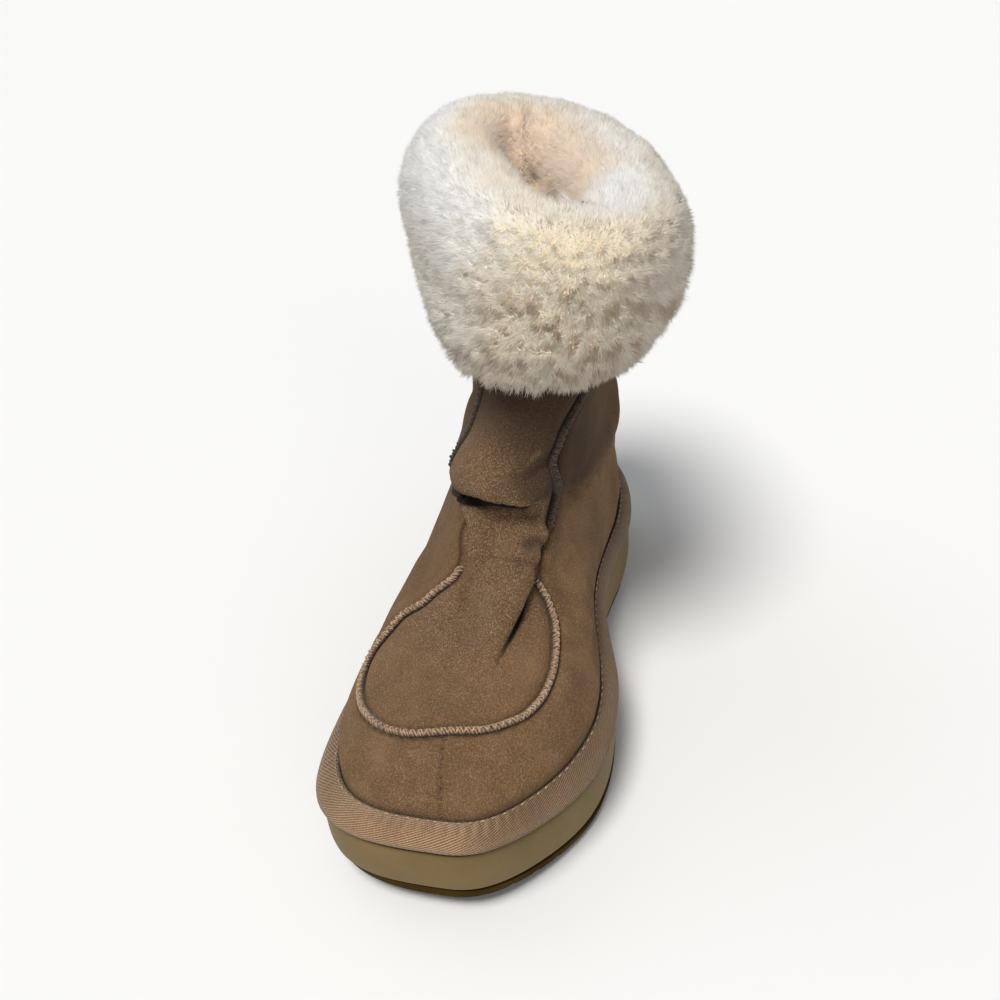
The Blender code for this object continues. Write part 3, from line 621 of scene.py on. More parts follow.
upper = {
    "sideSteps": 190,
    "crowd": 1.45,           # how far the columns are packed towards the front
    "rows": 228,
    "hiddenRows": 5,
    "lowEdge": 0.02,
    "hemLevel": 12.9,
    "fineLevel": 8.8,        # rows stand closest together round this level,
    "fineRows": 1.3,         # by this much,
    "fineSpan": 1.9,         # within this many levels
    # unevenness of the whole leather: height, width of one wave, seed
    "waves": [(0.9, 34.0, 1), (0.25, 9.0, 2)],
    "lip": 3.4,              # radius of a fold's rolled edge
    "edgeBlend": 0.8,        # half width over which the leather crosses a fold's edge
    "foldReach": 2.5,        # a fold ends this many ridge widths away,
    "foldFade": 5.0,         # and fades out within this distance
    # Folds with a rolled edge that hangs over a trough: ridge height and width, trough depth and width,
    # how far the edge stands out over the trough, shares of the path over which the two ends run out,
    # darkness of the shadow painted in the trough, how far it reaches in, and the path of the edge as it is
    # seen, with its ridge on the left hand. Points are (side, run, height).
    "folds": [
        # ankle crease
        (3.8, 20.0, 6.5, 3.0, 2.6, (0.25, 0.14), 1.0, 6.2,
         [(-31, 166, 90), (-28, 150, 91), (-21.6, 137.4, 94.5), (-11, 118, 104.3), (-2.8, 109, 108.5),
          (4.2, 106, 110.4), (9.9, 106, 110.3), (14.2, 107, 109.7), (18.5, 109, 108.6), (23, 113, 107.2)]),
        # undercut of the tongue
        (4.0, 14.0, 3.0, 2.4, 1.8, (0.50, 0.10), 1.0, 2.0,
         [(11, 57, 65.5), (12.5, 61, 66.4), (14.3, 66.8, 67.7), (16, 74.1, 69.4), (17, 79.1, 71),
          (17.8, 83.9, 72.5), (18.4, 88.8, 74.8), (18.8, 93.3, 76.9), (18.8, 97.1, 79.6),
          (19, 100.1, 82.9), (19.9, 103.5, 86.1), (21.8, 108.5, 90), (24.2, 114, 94)]),
        # panel edge over the quarter
        (2.6, 9.0, 3.6, 4.0, 2.0, (0.20, 0.25), 0.85, 2.2,
         [(-19, 128, 95), (-15.7, 120.5, 96.5), (-10.5, 110.9, 98), (-6.8, 105.6, 97), (-4.4, 101.2, 94),
          (-4.0, 98, 90.5), (-3.8, 94.8, 86.6), (-5, 91, 83.5)]),
        # inner and outer ankle folds, back fold
        (3.0, 18.0, 4.0, 6.0, 1.6, (0.2, 0.4), 0.7, 3.0,
         [(27, 121, 101), (31, 140, 95), (34, 165, 91), (34, 190, 92), (30, 215, 98), (22, 236, 104)]),
        (2.4, 16.0, 3.0, 6.0, 1.0, (0.4, 0.4), 0.7, 3.0,
         [(-12, 246, 112), (-24, 232, 107), (-29, 205, 102), (-30, 175, 104), (-28, 150, 110)]),
        (2.0, 14.0, 2.4, 5.0, 0.8, (0.45, 0.45), 0.5, 3.0,
         [(30, 205, 128), (22, 236, 122), (6, 248, 119), (-10, 247, 121), (-24, 232, 128)]),
    ],
    # Soft ridges (+) and troughs (-): height, half width, path.
    "swells": [
        (2.8, 7.5, [(9.5, 98, 92), (9.4, 92.7, 85.2), (10.6, 85.1, 77.3), (11, 77.4, 72.4),
                    (11, 69.6, 69), (10, 63, 66.5)]),
        (-3.6, 4.4, [(-3.8, 92.5, 84), (-4.2, 89, 80.8), (-4.2, 85, 77.7), (-3.2, 79.5, 74.4),
                     (0, 73, 71.4), (5, 66.5, 68.7)]),
        (1.6, 2.4, [(2.2, 105.9, 112.5), (8.4, 104.1, 112.2), (15.2, 104.3, 112.2), (20, 107, 111)]),
        (-4.2, 4.4, [(5, 104.5, 116.8), (9.6, 104, 117.6), (15.2, 104.9, 118.2), (20.3, 107.4, 118.2),
                     (26, 112.4, 117.4)]),
        (2.4, 4.5, [(29, 118, 131), (25.6, 114.3, 128.6), (19.3, 109.2, 123.7), (12, 106.3, 119.8),
                    (5.8, 105.3, 115.5), (1, 106.5, 111.5)]),
        (1.7, 3.0, [(4.4, 95.8, 89.6), (8.8, 96.7, 90.2), (15, 99.2, 89.7), (20.3, 102.1, 86.5)]),
        (-1.6, 2.8, [(12, 94.5, 87), (14.4, 95.7, 85.4), (17.3, 97.4, 84), (19.8, 98.5, 82)]),
        (-1.4, 6.0, [(-30, 150, 132), (-31, 175, 126), (-31, 205, 130)]),
        (-1.8, 7.0, [(37, 150, 130), (37, 180, 122), (34, 210, 126)]),
        (1.0, 6.0, [(-38, 92, 56), (-37, 112, 62), (-35, 132, 66)]),
        (1.1, 6.0, [(36, 96, 58), (35, 116, 64), (34, 136, 68)]),
        (0.45, 1.6, [(-14.3, 73.2, 68.4), (-6.3, 69.3, 69.2), (1.3, 65.7, 68.3), (9.2, 60.6, 66.7)]),
        (-0.5, 2.2, [(-16, 60, 66), (-4, 56, 66.5), (6, 57, 66.8)]),
        (-0.4, 2.0, [(-20, 74, 66), (-10, 70, 69)]),
        (0.5, 3.0, [(26, 44, 60), (16, 52, 64), (8, 58, 66)]),
    ],
    # Round lumps (+) and hollows (-): height, radius, centre.
    "lumps": [
        (2.8, 13.0, (-3, 111, 119)),
        (-3.4, 8.5, (22, 109, 121)),
        (-4.0, 24.0, (-27, 141, 140)),
        (-5.5, 22.0, (-28, 185, 112)),
        (-3.4, 3.4, (18.0, 103.0, 91.5)),
        (1.6, 9.0, (4, 98, 95)),
        (1.0, 14.0, (0, 42, 63)),
        (-0.9, 9.0, (24, 66, 63)),
    ],
    # Soft strokes of painted shade, and of painted light that lifts it: strength, half width, path.
    "shades": [
        (1.00, 1.7, [(-1, 108.3, 103.6), (4.2, 106.5, 103.9), (9, 105.8, 104), (13, 106.2, 104),
                     (16.5, 107.6, 103.8)]),
        (0.75, 5.0, [(10.5, 104.8, 116.5), (14, 105.4, 117), (19.3, 107.3, 117.4), (25, 111, 117)]),
        (0.60, 2.4, [(21.5, 104, 88.5), (18.6, 104.2, 92.3), (15.4, 101, 92)]),
        (0.30, 4.0, [(-4.2, 91, 82.8), (-5, 86.8, 78.8), (-4.4, 81.7, 75.7)]),
        (0.55, 7.0, [(29, 122, 104), (28, 119, 97), (26, 113, 92)]),
        (0.35, 1.0, [(-2.7, 95.4, 87.4), (4.9, 95.3, 88.6), (10.5, 96, 88.2), (15.8, 97.7, 86.3)]),
    ],
    "lifts": [
        (1.00, 12.0, [(-14, 129, 114), (-12.9, 127.1, 116.3), (-7, 118.0, 118), (-1.1, 110.8, 119.5),
                      (3, 107, 118)]),
        (1.00, 2.6, [(4.3, 104.5, 111.6), (10, 104, 111.6), (15, 105, 111.4), (18.6, 108, 109.6)]),
        (0.45, 1.2, [(21.9, 111.5, 126.4), (17.2, 108.3, 122.9), (12.2, 106.1, 119.1), (7.3, 104.5, 114.9)]),
    ],
    # grooves and rims beside a seam: depth, distance, width
    "gutter": [(-1.2, 0.0, 2.6), (0.6, 5.5, 2.8)],
    "press": [(-0.45, 0.0, 0.7), (0.3, 1.4, 0.9)],
    "gutterShade": (0.35, 0.65),     # painted shade beside the whipped seam, on the plug and on the quarters
    "gutterLine": (1.8, 0.6),        # its distance from the seam and its width
    # painted shade along the pressed seams, and its width
    "pressShade": 0.16,
    "pressLine": 0.5,
    "overTape": 1.8,         # the leather bulges out above the tape, most at the toe
    "overTapeLevel": 1.6,
    "overTapeSpan": 0.55,
    "overTapeToe": (0.65, 120.0, 60.0),
    "tapeShade": (0.18, 0.95, 0.10),         # painted shade above the tape: strength, level, span
    # strength of a painted shade or of the nap, and the levels or the run between which it sets in
    "cuffShade": (0.3, 11.6, 12.6),
    "shaftShade": (0.86, 9.2, 10.5),
    "shaftFade": (0.45, 130.0, 185.0),
    "quarterShade": (0.24, 4.2, 6.0),
    "tongueShade": (0.16, 5.0, 6.5),
    "tongueNap": (0.5, 5.0, 6.5),
    "nap": 0.55,             # strength of the nap,
    "liftNap": 0.5,          # and how much more where the painted shade is lifted, as painted light on the grain
    "rub": (0.35, 0.2, 0.9),
}

# Route of the whipped seam: level and turn on the outer side, then on the inner side. level counts
# rings from the sole, and turn is the share of the way from the front centre line to the back.
seam = {
    "route": [
        (13.2, 0.210, 13.2, 0.165), (12.2, 0.222, 12.2, 0.140), (10.9, 0.225, 10.9, 0.092),
        (9.80, 0.195, 9.90, 0.124), (8.60, 0.110, 8.70, 0.131), (7.50, 0.060, 7.20, 0.118),
        (6.30, 0.130, 6.20, 0.165), (4.90, 0.220, 5.30, 0.200), (3.50, 0.265, 4.45, 0.198),
        (2.85, 0.250, 4.00, 0.170), (2.95, 0.190, 3.90, 0.125), (3.40, 0.115, 4.05, 0.075),
        (4.05, 0.000, 4.05, 0.000),
    ],
    # stretches where a fold covers the seam: from level, to level, outer side (-1) or inner side (1)
    "covered": [(7.6, 9.8, -1), (7.0, 7.95, 1)],
    "coverDepth": 4.0,
    "spacing": 0.6,          # between the points of the route, mm
    "width": 2.8,
    "height": 1.5,
    "pitch": 1.35,
    "threadRadius": 0.36,
    "threadReach": 0.10,     # the thread stands out this far beside the edge,
    "threadRise": 0.30,      # this far above it,
    "threadSink": 0.4,       # and its ends go this deep
    "lean": 2.3,
    "leanSpread": (0.7, 1.2),
    "crossing": (0.8, 0.7),  # reach and lean of the threads that cross, as shares
    # as for the upper: painted shade darkens the seam with the shaft, and lightens again below the cuff
    "shade": (1.0, 8.6, 9.2),
    "shadeFade": (0.25, 12.0, 12.8),
    "swell": 0.07,           # share by which the edge is thicker under the thread,
    "hidden": 0.85,          # and by which it is thinner under a fold
    "place": 0.2,            # how far along the seam single threads may lie from even places
}
toeSeam = {"route": [(4.0, 0.0), (3.0, 0.005), (2.0, 0.010), (1.0, 0.010)], "pitch": 3.4}
backSeam = {"route": [(0.9, 1.0), (5.0, 1.0), (9.0, 1.0), (12.8, 1.0)], "pitch": 3.4}


# Distance from every point to a path, the side of it on which the point lies (+ on the left hand as
# seen from outside), and the share of the way along.
def distanceToPath(points, normals, path):
    fine = alongTable(path, 4 * len(path) - 3)
    best = np.full(points.shape[:-1], np.inf)
    share = np.zeros(points.shape[:-1])
    signed = np.zeros(points.shape[:-1])
    for index in range(len(fine) - 1):
        start, step = fine[index], fine[index + 1] - fine[index]
        reach = points - start
        t = np.clip((reach @ step) / (step @ step), 0.0, 1.0)
        offset = reach - t[..., None] * step
        distance = np.linalg.norm(offset, axis=-1)
        nearer = distance < best
        best = np.where(nearer, distance, best)
        share = np.where(nearer, (index + t) / (len(fine) - 1), share)
        turned = (np.cross(unit(step), offset) * normals).sum(axis=-1)
        signed = np.where(nearer, turned, signed)
    return best, np.where(signed < 0, -1.0, 1.0), share


# The path moved along the normals onto the smooth upper.
def ontoUpper(path):
    path = np.asarray(path, float)
    flat = smoothUpper.reshape(-1, 3)
    near = np.array([np.argmin(((flat - point)**2).sum(axis=1)) for point in path])
    normals = smoothNormals.reshape(-1, 3)[near]
    return path + normals * ((flat[near] - path) * normals).sum(axis=1, keepdims=True)


# A fold: past the edge the leather rises over a quarter circle to the ridge's height and falls away
# smoothly; before the edge it lies in a trough, and the rolled edge is moved out over that trough.
def foldLeather(points, normals, fold):
    height, width, depth, troughWidth, farthest, ends, dark, shadow, path = fold
    path = ontoUpper(path)
    distance, side, share = distanceToPath(points, normals, path)
    signed = distance * side
    taper = ramp(share, 0.0, ends[0]) * ramp(1.0 - share, 0.0, ends[1])
    hang = farthest * taper
    past = signed - hang
    edge = ramp(past, -upper["edgeBlend"], upper["edgeBlend"])
    lip = upper["lip"]
    roll = np.sqrt(1.0 - (1.0 - np.clip(past / lip, 0.0, 1.0))**2)
    ridge = height * roll * (1.0 - ramp(past, lip, width)) * edge
    trough = depth * bell(np.minimum(signed, 0.0), troughWidth) * (1.0 - edge)
    beyond = bell(np.maximum(distance - upper["foldReach"] * width, 0.0), upper["foldFade"])
    rise = taper * (ridge - trough) * beyond
    steps = np.linspace(0, 1, len(path))
    tangent = unit(smoothCurve(steps, np.gradient(path, axis=0), share))
    towards = unit(np.cross(normals, tangent))
    pull = hang * edge * bell(np.maximum(past, 0.0), 0.5 * width)
    moved = points + normals * rise[..., None] - towards * pull[..., None]
    # Painted shadow reaching into the trough below the rolled edge, shorter towards the fold's ends.
    reach = shadow * (0.45 + 0.55 * taper)
    shade = ramp(signed + reach, 0.0, 1.0) * (1.0 - ramp(past, -0.4, 0.9))
    return moved, dark * ramp(taper, 0.0, 0.5) * shade


# Levels of the rows, spaced by distance on the leather, and the smooth rings at those levels.
def makeUpperGrid():
    share = stations(upper["sideSteps"], upper["crowd"])
    coarse = np.linspace(upper["lowEdge"], upper["hemLevel"], 400)
    rings = upperRings(coarse, share)
    travel = np.linalg.norm(np.diff(rings[:, ::10], axis=0), axis=-1)
    levels = (coarse[1:] + coarse[:-1]) / 2
    finer = 1.0 + upper["fineRows"] * bell(levels - upper["fineLevel"], upper["fineSpan"])
    step = (0.5 * travel.mean(axis=1) + 0.5 * travel[:, 0]) * finer
    travel = np.concatenate([[0.0], np.cumsum(step)])
    shown = np.interp(np.linspace(0, travel[-1], upper["rows"]), travel, coarse)
    hidden = np.linspace(upper["hemLevel"], topLevel, upper["hiddenRows"] + 1)[1:]
    levels = np.concatenate([shown, hidden])
    return share, levels, upperRings(levels, share)


# Column of the grid at a share of the way round each ring, by distance along it; the outer side
# counts backwards.
def columnAt(levels, turns):
    columns = []
    for ring, turn in zip(upperRings(levels, upperShare), turns):
        half = halves(ring)[0 if turn >= 0 else 1]
        travel = travelled(half)
        column = np.interp(abs(turn), travel / travel[-1], np.arange(len(half)))
        columns.append(column if turn >= 0 else -column)
    return np.array(columns)


# Row and column along a route given by level and turn, spaced evenly by distance on the leather.
def routeOnUpper(points, levels, turns, spacing):
    steps = np.arange(len(levels), dtype=float)
    fine = np.linspace(0, steps[-1], 1200)
    fineLevels = smoothCurve(steps, levels, fine)
    fineColumns = columnAt(fineLevels, smoothCurve(steps, turns, fine))
    fineRows = np.interp(fineLevels, upperLevels, np.arange(len(upperLevels)))
    travel = travelled(readGrid(points, fineRows, fineColumns))
    even = np.linspace(0, travel[-1], int(travel[-1] / spacing) + 1)
    return np.interp(even, travel, fineRows), np.interp(even, travel, fineColumns)


# 1 inside a closed outline given by rows and columns, 0 outside: counts the edges that a level line
# from each place crosses.
def insideOutline(rows, columns, outlineRows, outlineColumns):
    inside = np.zeros(rows.shape, bool)
    nextRows = np.roll(outlineRows, -1)
    nextColumns = np.roll(outlineColumns, -1)
    for r0, c0, r1, c1 in zip(outlineRows, outlineColumns, nextRows, nextColumns):
        if r0 == r1:
            continue
        crosses = (r0 > rows) != (r1 > rows)
        inside ^= crosses & (columns < (c1 - c0) * (rows - r0) / (r1 - r0) + c0)
    return inside


upperShare, upperLevels, smoothUpper = makeUpperGrid()
smoothNormals = gridNormals(smoothUpper)
leather = smoothUpper.copy()
# Painted shade, starting with the shadows in the folds' troughs.
crease = np.zeros(leather.shape[:2])
for fold in upper["folds"]:
    leather, dark = foldLeather(leather, smoothNormals, fold)
    crease = np.maximum(crease, dark)
for depth, width, path in upper["swells"]:
    distance, _, share = distanceToPath(smoothUpper, smoothNormals, ontoUpper(path))
    taper = ramp(share, -0.05, 0.3) * ramp(1.0 - share, -0.05, 0.3)
    leather += smoothNormals * (depth * taper * bell(distance, width))[..., None]
for depth, radius, centre in upper["lumps"]:
    distance = np.linalg.norm(smoothUpper - ontoUpper([centre])[0], axis=-1)
    leather += smoothNormals * (depth * bell(distance, radius))[..., None]
calm = ramp(upperLevels, 0.5, 2.0)[:, None]
for depth, size, seed in upper["waves"]:
    leather += smoothNormals * (calm * depth * cloud(smoothUpper, size, seed))[..., None]
print("leather folded")

route = np.array(seam["route"])
seamLevels = np.concatenate([route[:, 0], route[-2::-1, 2]])
seamTurns = np.concatenate([-route[:, 1], route[-2::-1, 3]])
seamRows, seamColumns = routeOnUpper(leather, seamLevels, seamTurns, seam["spacing"])
leatherNormals = gridNormals(leather)
seamPath = readGrid(leather, seamRows, seamColumns)
seamNormals = unit(readGrid(leatherNormals, seamRows, seamColumns))
seamDistance, _, _ = distanceToPath(leather, leatherNormals, seamPath[::8])
seamLevel = np.interp(seamRows, np.arange(len(upperLevels)), upperLevels)
covered = np.zeros(len(seamPath))
for low, high, side in seam["covered"]:
    within = plateau(seamLevel, low - 0.3, low + 0.3, high - 0.3, high + 0.3)
    covered = np.maximum(covered, within * (side * seamColumns > 0))
seamPath = seamPath - seamNormals * (seam["coverDepth"] * covered)[:, None]

columns = leather.shape[1]
signedColumn = np.arange(columns)
signedColumn = np.where(signedColumn > columns // 2, signedColumn - columns, signedColumn)
rowGrid, columnGrid = np.meshgrid(np.arange(len(upperLevels)), signedColumn, indexing="ij")
topRow = len(upperLevels) + 5.0
outlineRows = np.concatenate([[topRow], seamRows[::6], [topRow]])
outlineColumns = np.concatenate([[seamColumns[0]], seamColumns[::6], [seamColumns[-1]]])
frontPanel = insideOutline(rowGrid, columnGrid, outlineRows, outlineColumns)

toeShare = 1.0 - upper["overTapeToe"][0] + graded(leather[..., 1], *upper["overTapeToe"])
bulge = bell(upperLevels - upper["overTapeLevel"], upper["overTapeSpan"])[:, None] * toeShare
leather += leatherNormals * (upper["overTape"] * bulge)[..., None]


# Height of the leather at a distance from a seam: the sum of its grooves and rims.
def beside(distance, grooves):
    return sum(depth * bell(distance - place, width) for depth, place, width in grooves)


leather += leatherNormals * beside(seamDistance, upper["gutter"])[..., None]
# Painted shade in the groove beside the whipped seam.
place, width = upper["gutterLine"]
gutterShade = np.where(frontPanel, *upper["gutterShade"])
crease = np.maximum(crease, bell(seamDistance - place, width) * gutterShade)


# Presses a seam into the leather; returns its path, its normals, and 1 along it.
def pressSeam(settings):
    levels, turns = np.array(settings["route"]).T
    rows, columns = routeOnUpper(leather, levels, turns, settings["pitch"] / 4.0)
    path = readGrid(leather, rows, columns)
    normals = unit(readGrid(gridNormals(leather), rows, columns))
    distance, _, _ = distanceToPath(leather, leatherNormals, path[::4])
    leather[:] += leatherNormals * beside(distance, upper["press"])[..., None]
    return path, normals, bell(distance, upper["pressLine"])


toePath, toeNormals, toeDark = pressSeam(toeSeam)
backPath, backNormals, backDark = pressSeam(backSeam)
level = np.broadcast_to(upperLevels[:, None], leather.shape[:2])
run = leather[..., 1]
# Painted shade along the pressed seams, just above the tape and under the cuff. The rubs are lighter wear at
# random, kept off that shade.
crease = np.maximum(crease, upper["pressShade"] * np.maximum(toeDark, backDark))
strength, low, span = upper["tapeShade"]
crease = np.maximum(crease, strength * bell(np.maximum(level - low, 0.0), span))
crease = np.maximum(crease, graded(level, *upper["cuffShade"]))
rub = graded(cloud(leather, 14.0, 5), *upper["rub"]) * (1 - crease)


# Each stroke fades out across its path as a bell.
def softStrokes(strokes):
    value = np.zeros(leather.shape[:2])
    for strength, width, path in strokes:
        distance, _, _ = distanceToPath(smoothUpper, smoothNormals, ontoUpper(path))
        value = np.maximum(value, strength * bell(distance, width))
    return value


# Painted shade on the shaft under the cuff, on the outer quarter, on the tongue and along the strokes; the
# lifts are painted light that takes most of it away where the leather is lit.
lift = softStrokes(upper["lifts"])
uneven = 0.35 * cloud(leather, 16.0, 6) + 1.3 * ramp(leather[..., 0], 12.0, 28.0)
shaftShade = graded(level + uneven, *upper["shaftShade"]) * (1.0 - graded(run, *upper["shaftFade"]))
tongueShade = graded(level, *upper["tongueShade"]) * frontPanel
outerSide = ramp(-leather[..., 0], -4.0, 8.0)
quarterShade = graded(level, *upper["quarterShade"]) * ~frontPanel * outerSide
dim = np.maximum(np.maximum(shaftShade, quarterShade), softStrokes(upper["shades"]))
dim = np.maximum(dim * (1.0 - 0.90 * lift), tongueShade)
# The flecks of the nap show more where the shade is lifted and on the tongue, partly as painted light on the
# grain.
nap = upper["nap"] + upper["liftNap"] * lift + graded(level, *upper["tongueNap"]) * frontPanel
nap = np.clip(nap, 0.0, 1.0)
makePiece("suedeUpper", leather, gridFaces(*leather.shape[:2]), suedeFinish, replaces=("upper",),
          attributes={"crease": crease, "panel": frontPanel * 1.0, "rub": rub, "dim": dim, "nap": nap})


# Painted shade on the whipped seam, as on the shaft.
seamShade = graded(seamLevel + (seamColumns > 0), *seam["shade"])
seamShade *= 1.0 - graded(seamLevel, *seam["shadeFade"])


# The rolled edge: an arch carried along the seam, a little thicker under each turn of the thread.
def makeWhippedEdge():
    count = len(seamPath)
    angle = np.linspace(-0.25 * np.pi, 1.25 * np.pi, 15)
    travel = np.arange(count)[:, None] * seam["spacing"]
    swell = 1.0 + seam["swell"] * np.cos(2 * np.pi * travel / seam["pitch"])
    swell = swell * (1.0 - seam["hidden"] * covered[:, None])
    across = seam["width"] / 2 * np.cos(angle)[None] * swell
    up = seam["height"] * np.sin(angle)[None] * swell - 0.2
    points = sweep(seamPath, seamNormals, across, up)
    # Painted shade on the lower sides of the arch where it meets the upper, under folds and up the shaded
    # shaft.
    dark = np.maximum(ramp(up, 0.9, -0.4), 0.8 * covered[:, None])
    dark = np.maximum(dark, 0.85 * seamShade[:, None])
    makePiece("whippedEdge", points, gridFaces(count, len(angle), ring=False, flip=True), beadFinish,
              attributes={"crease": dark}, replaces=("whip_seam",))


# Slanting threads that lie across the bead, with a shorter one crossing every other one.
def makeWhipStitches():
    count = len(seamPath)
    pitch = seam["pitch"] / seam["spacing"]
    stitches = int((count - 1) / pitch)
    chance = np.random.default_rng(4)
    place = (np.arange(stitches) + 0.5 + chance.uniform(-seam["place"], seam["place"], stitches)) * pitch
    row = np.clip(place, 1, count - 2)
    row = row[covered[row.astype(int)] < 0.4]
    stitches = len(row)
    low = np.floor(row).astype(int)
    middle = seamPath[low] + (seamPath[low + 1] - seamPath[low]) * (row - low)[:, None]
    normal = seamNormals[low]
    along = unit(seamPath[low + 1] - seamPath[low])
    reach = unit(np.cross(along, normal)) * (seam["width"] / 2 + seam["threadReach"])
    shift = along * seam["lean"] / 2 * chance.uniform(*seam["leanSpread"], (stitches, 1))
    starts = middle - reach - shift - normal * seam["threadSink"]
    ends = middle + reach + shift - normal * seam["threadSink"]
    crossed = np.arange(0, stitches, 2)
    shorter, steeper = seam["crossing"]
    starts = np.concatenate([starts, (middle - shorter * reach + steeper * shift)[crossed]])
    ends = np.concatenate([ends, (middle + shorter * reach - steeper * shift)[crossed]])
    order = np.concatenate([np.arange(stitches), crossed])
    # The threads carry the seam's painted shade.
    makeStrands("whipStitches", starts, ends, normal[order], seam["height"] + seam["threadRise"],
                seam["threadRadius"], threadFinish, sides=5, dim=0.9 * seamShade[low[order]])


pressedStitch = {"reach": 0.9, "rise": 0.25, "radius": 0.22, "askew": (-0.5, 0.9), "askewShare": 0.4}


# Small overcast stitches that cross a pressed seam at a slant, some lying askew.
def makeSeamStitches(name, path, normals, pitch):
    chance = np.random.default_rng(len(path))
    index = np.arange(3, len(path) - 4, 4)
    along = unit(path[index + 1] - path[index])
    reach = unit(np.cross(along, normals[index])) * pressedStitch["reach"]
    askew = along * chance.uniform(*pressedStitch["askew"], (len(index), 1)) * pitch
    askew = askew * pressedStitch["askewShare"]
    makeStrands(name, path[index] - reach - askew, path[index] + reach + askew, normals[index],
                pressedStitch["rise"], pressedStitch["radius"], beadFinish)


makeWhippedEdge()
makeWhipStitches()
makeSeamStitches("toeStitches", toePath, toeNormals, toeSeam["pitch"])
makeSeamStitches("backStitches", backPath, backNormals, backSeam["pitch"])


binding = {
    "sideSteps": 420,
    "sectionSteps": 22,
    # reach from the upper to the tape's outer edge, rise as a share of the tape's height
    "section": [(0.00, 0.30), (0.00, 0.00), (0.35, -0.01), (0.70, 0.00), (0.93, 0.14), (1.00, 0.34),
                (0.88, 0.60), (0.56, 0.86), (0.20, 1.01), (0.02, 0.98), (0.00, 0.80)],
    "lift": 0.35,            # the tape lies this far off the leather
    "stitchPitch": 4.3,
    "stitchLength": 2.2,
    "stitchHeight": 0.45,
    "stitchRadius": 0.30,
    "stitchSink": 0.2,       # the ends of a stitch go this deep into the tape
    "stitchPlace": 8.05,     # place of the stitch row in the section's points
    "stitchRise": 0.93,      # and its rise
    "pucker": 0.14,
    "puckerRise": 0.25,
    "puckerSpan": 0.16,
    "outsideFrom": 0.3,      # reach beyond which a point is on the outer face
    # strength of a painted shade, and where it goes from none to all: by rise, by how far the tape faces
    # sideways, and by run
    "footShade": (0.45, 0.42, 0.02),
    "sideShade": (0.42, 0.20, 0.85),
    "runShade": (0.15, 15.0, 70.0),
    "dipShade": (0.35, 0.4, 0.95),
    "dipSpan": 0.07,
}


# The tape's section carried round the sole; its top edge puckers between the stitches, and its
# pattern runs by distance from the front of the toe, so that the tape's ends meet at the heel.
def makeBinding():
    share = stations(binding["sideSteps"])
    reach, rise = alongTable(binding["section"], binding["sectionSteps"]).T
    inner = upperRings(np.clip(rise, 0.0, 1.0), share)
    inner = inner + planNormals(inner) * binding["lift"]
    edge = soleRings(share, [-last["bindingBulge"]], [0.0])
    points = inner + reach[:, None, None] * (edge - inner)
    travel = travelled(np.concatenate([edge[0], edge[0, :1]]))
    total = travel[-1]
    count = len(travel) - 1
    stitches = int(total / binding["stitchPitch"])
    wave = np.cos(2 * np.pi * travel[:-1] / total * stitches)
    points[..., 2] = midsoleTop(points[..., 1]) + last["gap"] + rise[:, None] * last["bindingHeight"]
    fromRow = rise - binding["stitchRise"]
    outerEdge = reach > 0.03
    pucker = (bell(fromRow, binding["puckerSpan"]) * outerEdge)[:, None] * wave
    points += planNormals(points) * (binding["pucker"] * pucker)[..., None]
    points[..., 2] += binding["puckerRise"] * pucker + 0.25 * cloud(points, 26.0, 9)

    across = travelled(points[:, 0])
    faces = gridFaces(*points.shape[:2], tube=True)
    column = faces % count
    column[:, 1:3] = np.where(column[:, 1:3] == 0, count, column[:, 1:3])
    along = travel[column] - np.where(column[:, :1] >= binding["sideSteps"], total, 0.0)
    uv = np.stack([along, across[faces // count]], axis=-1)

    # Painted shade: along the tape's edges at the upper and the sole, low on its outer face, on its sides
    # and towards the back, and in the dips between the puckers.
    outside = reach > binding["outsideFrom"]
    dark = np.maximum(ramp(reach, 0.20, 0.05), ramp(rise, 0.10, 0.0) * outside)[:, None]
    low = (graded(rise, *binding["footShade"]) * outside)[:, None]
    sideways = graded(np.abs(planNormals(points)[..., 0]), *binding["sideShade"])
    sideways += graded(points[..., 1], *binding["runShade"])
    dip = bell(fromRow, binding["dipSpan"])[:, None] * graded(-wave, *binding["dipShade"])
    dip = dip * outerEdge[:, None]
    crease = np.maximum(np.maximum(dark, low + sideways), dip)
    makePiece("tapeBinding", points, faces, twillFinish, uv=uv,
              attributes={"crease": crease}, replaces=("binding",))

    # stitch row just below the tape's top edge
    steps = binding["sectionSteps"]
    row = np.interp(binding["stitchPlace"], np.linspace(0, len(binding["section"]) - 1, steps),
                    np.arange(steps))
    rows = np.full(stitches, row)
    centre = (np.arange(stitches) + 0.5) / stitches * total
    half = binding["stitchLength"] / 2
    startColumn, endColumn = [np.interp(centre + shift, travel, np.arange(count + 1))
                              for shift in (-half, half)]
    normal = unit(readGrid(gridNormals(points), rows, startColumn))
    sink = normal * binding["stitchSink"]
    start, end = [readGrid(points, rows, column) - sink for column in (startColumn, endColumn)]
    makeStrands("tapeStitches", start, end, normal, binding["stitchHeight"], binding["stitchRadius"],
                threadFinish, sides=5)


makeBinding()


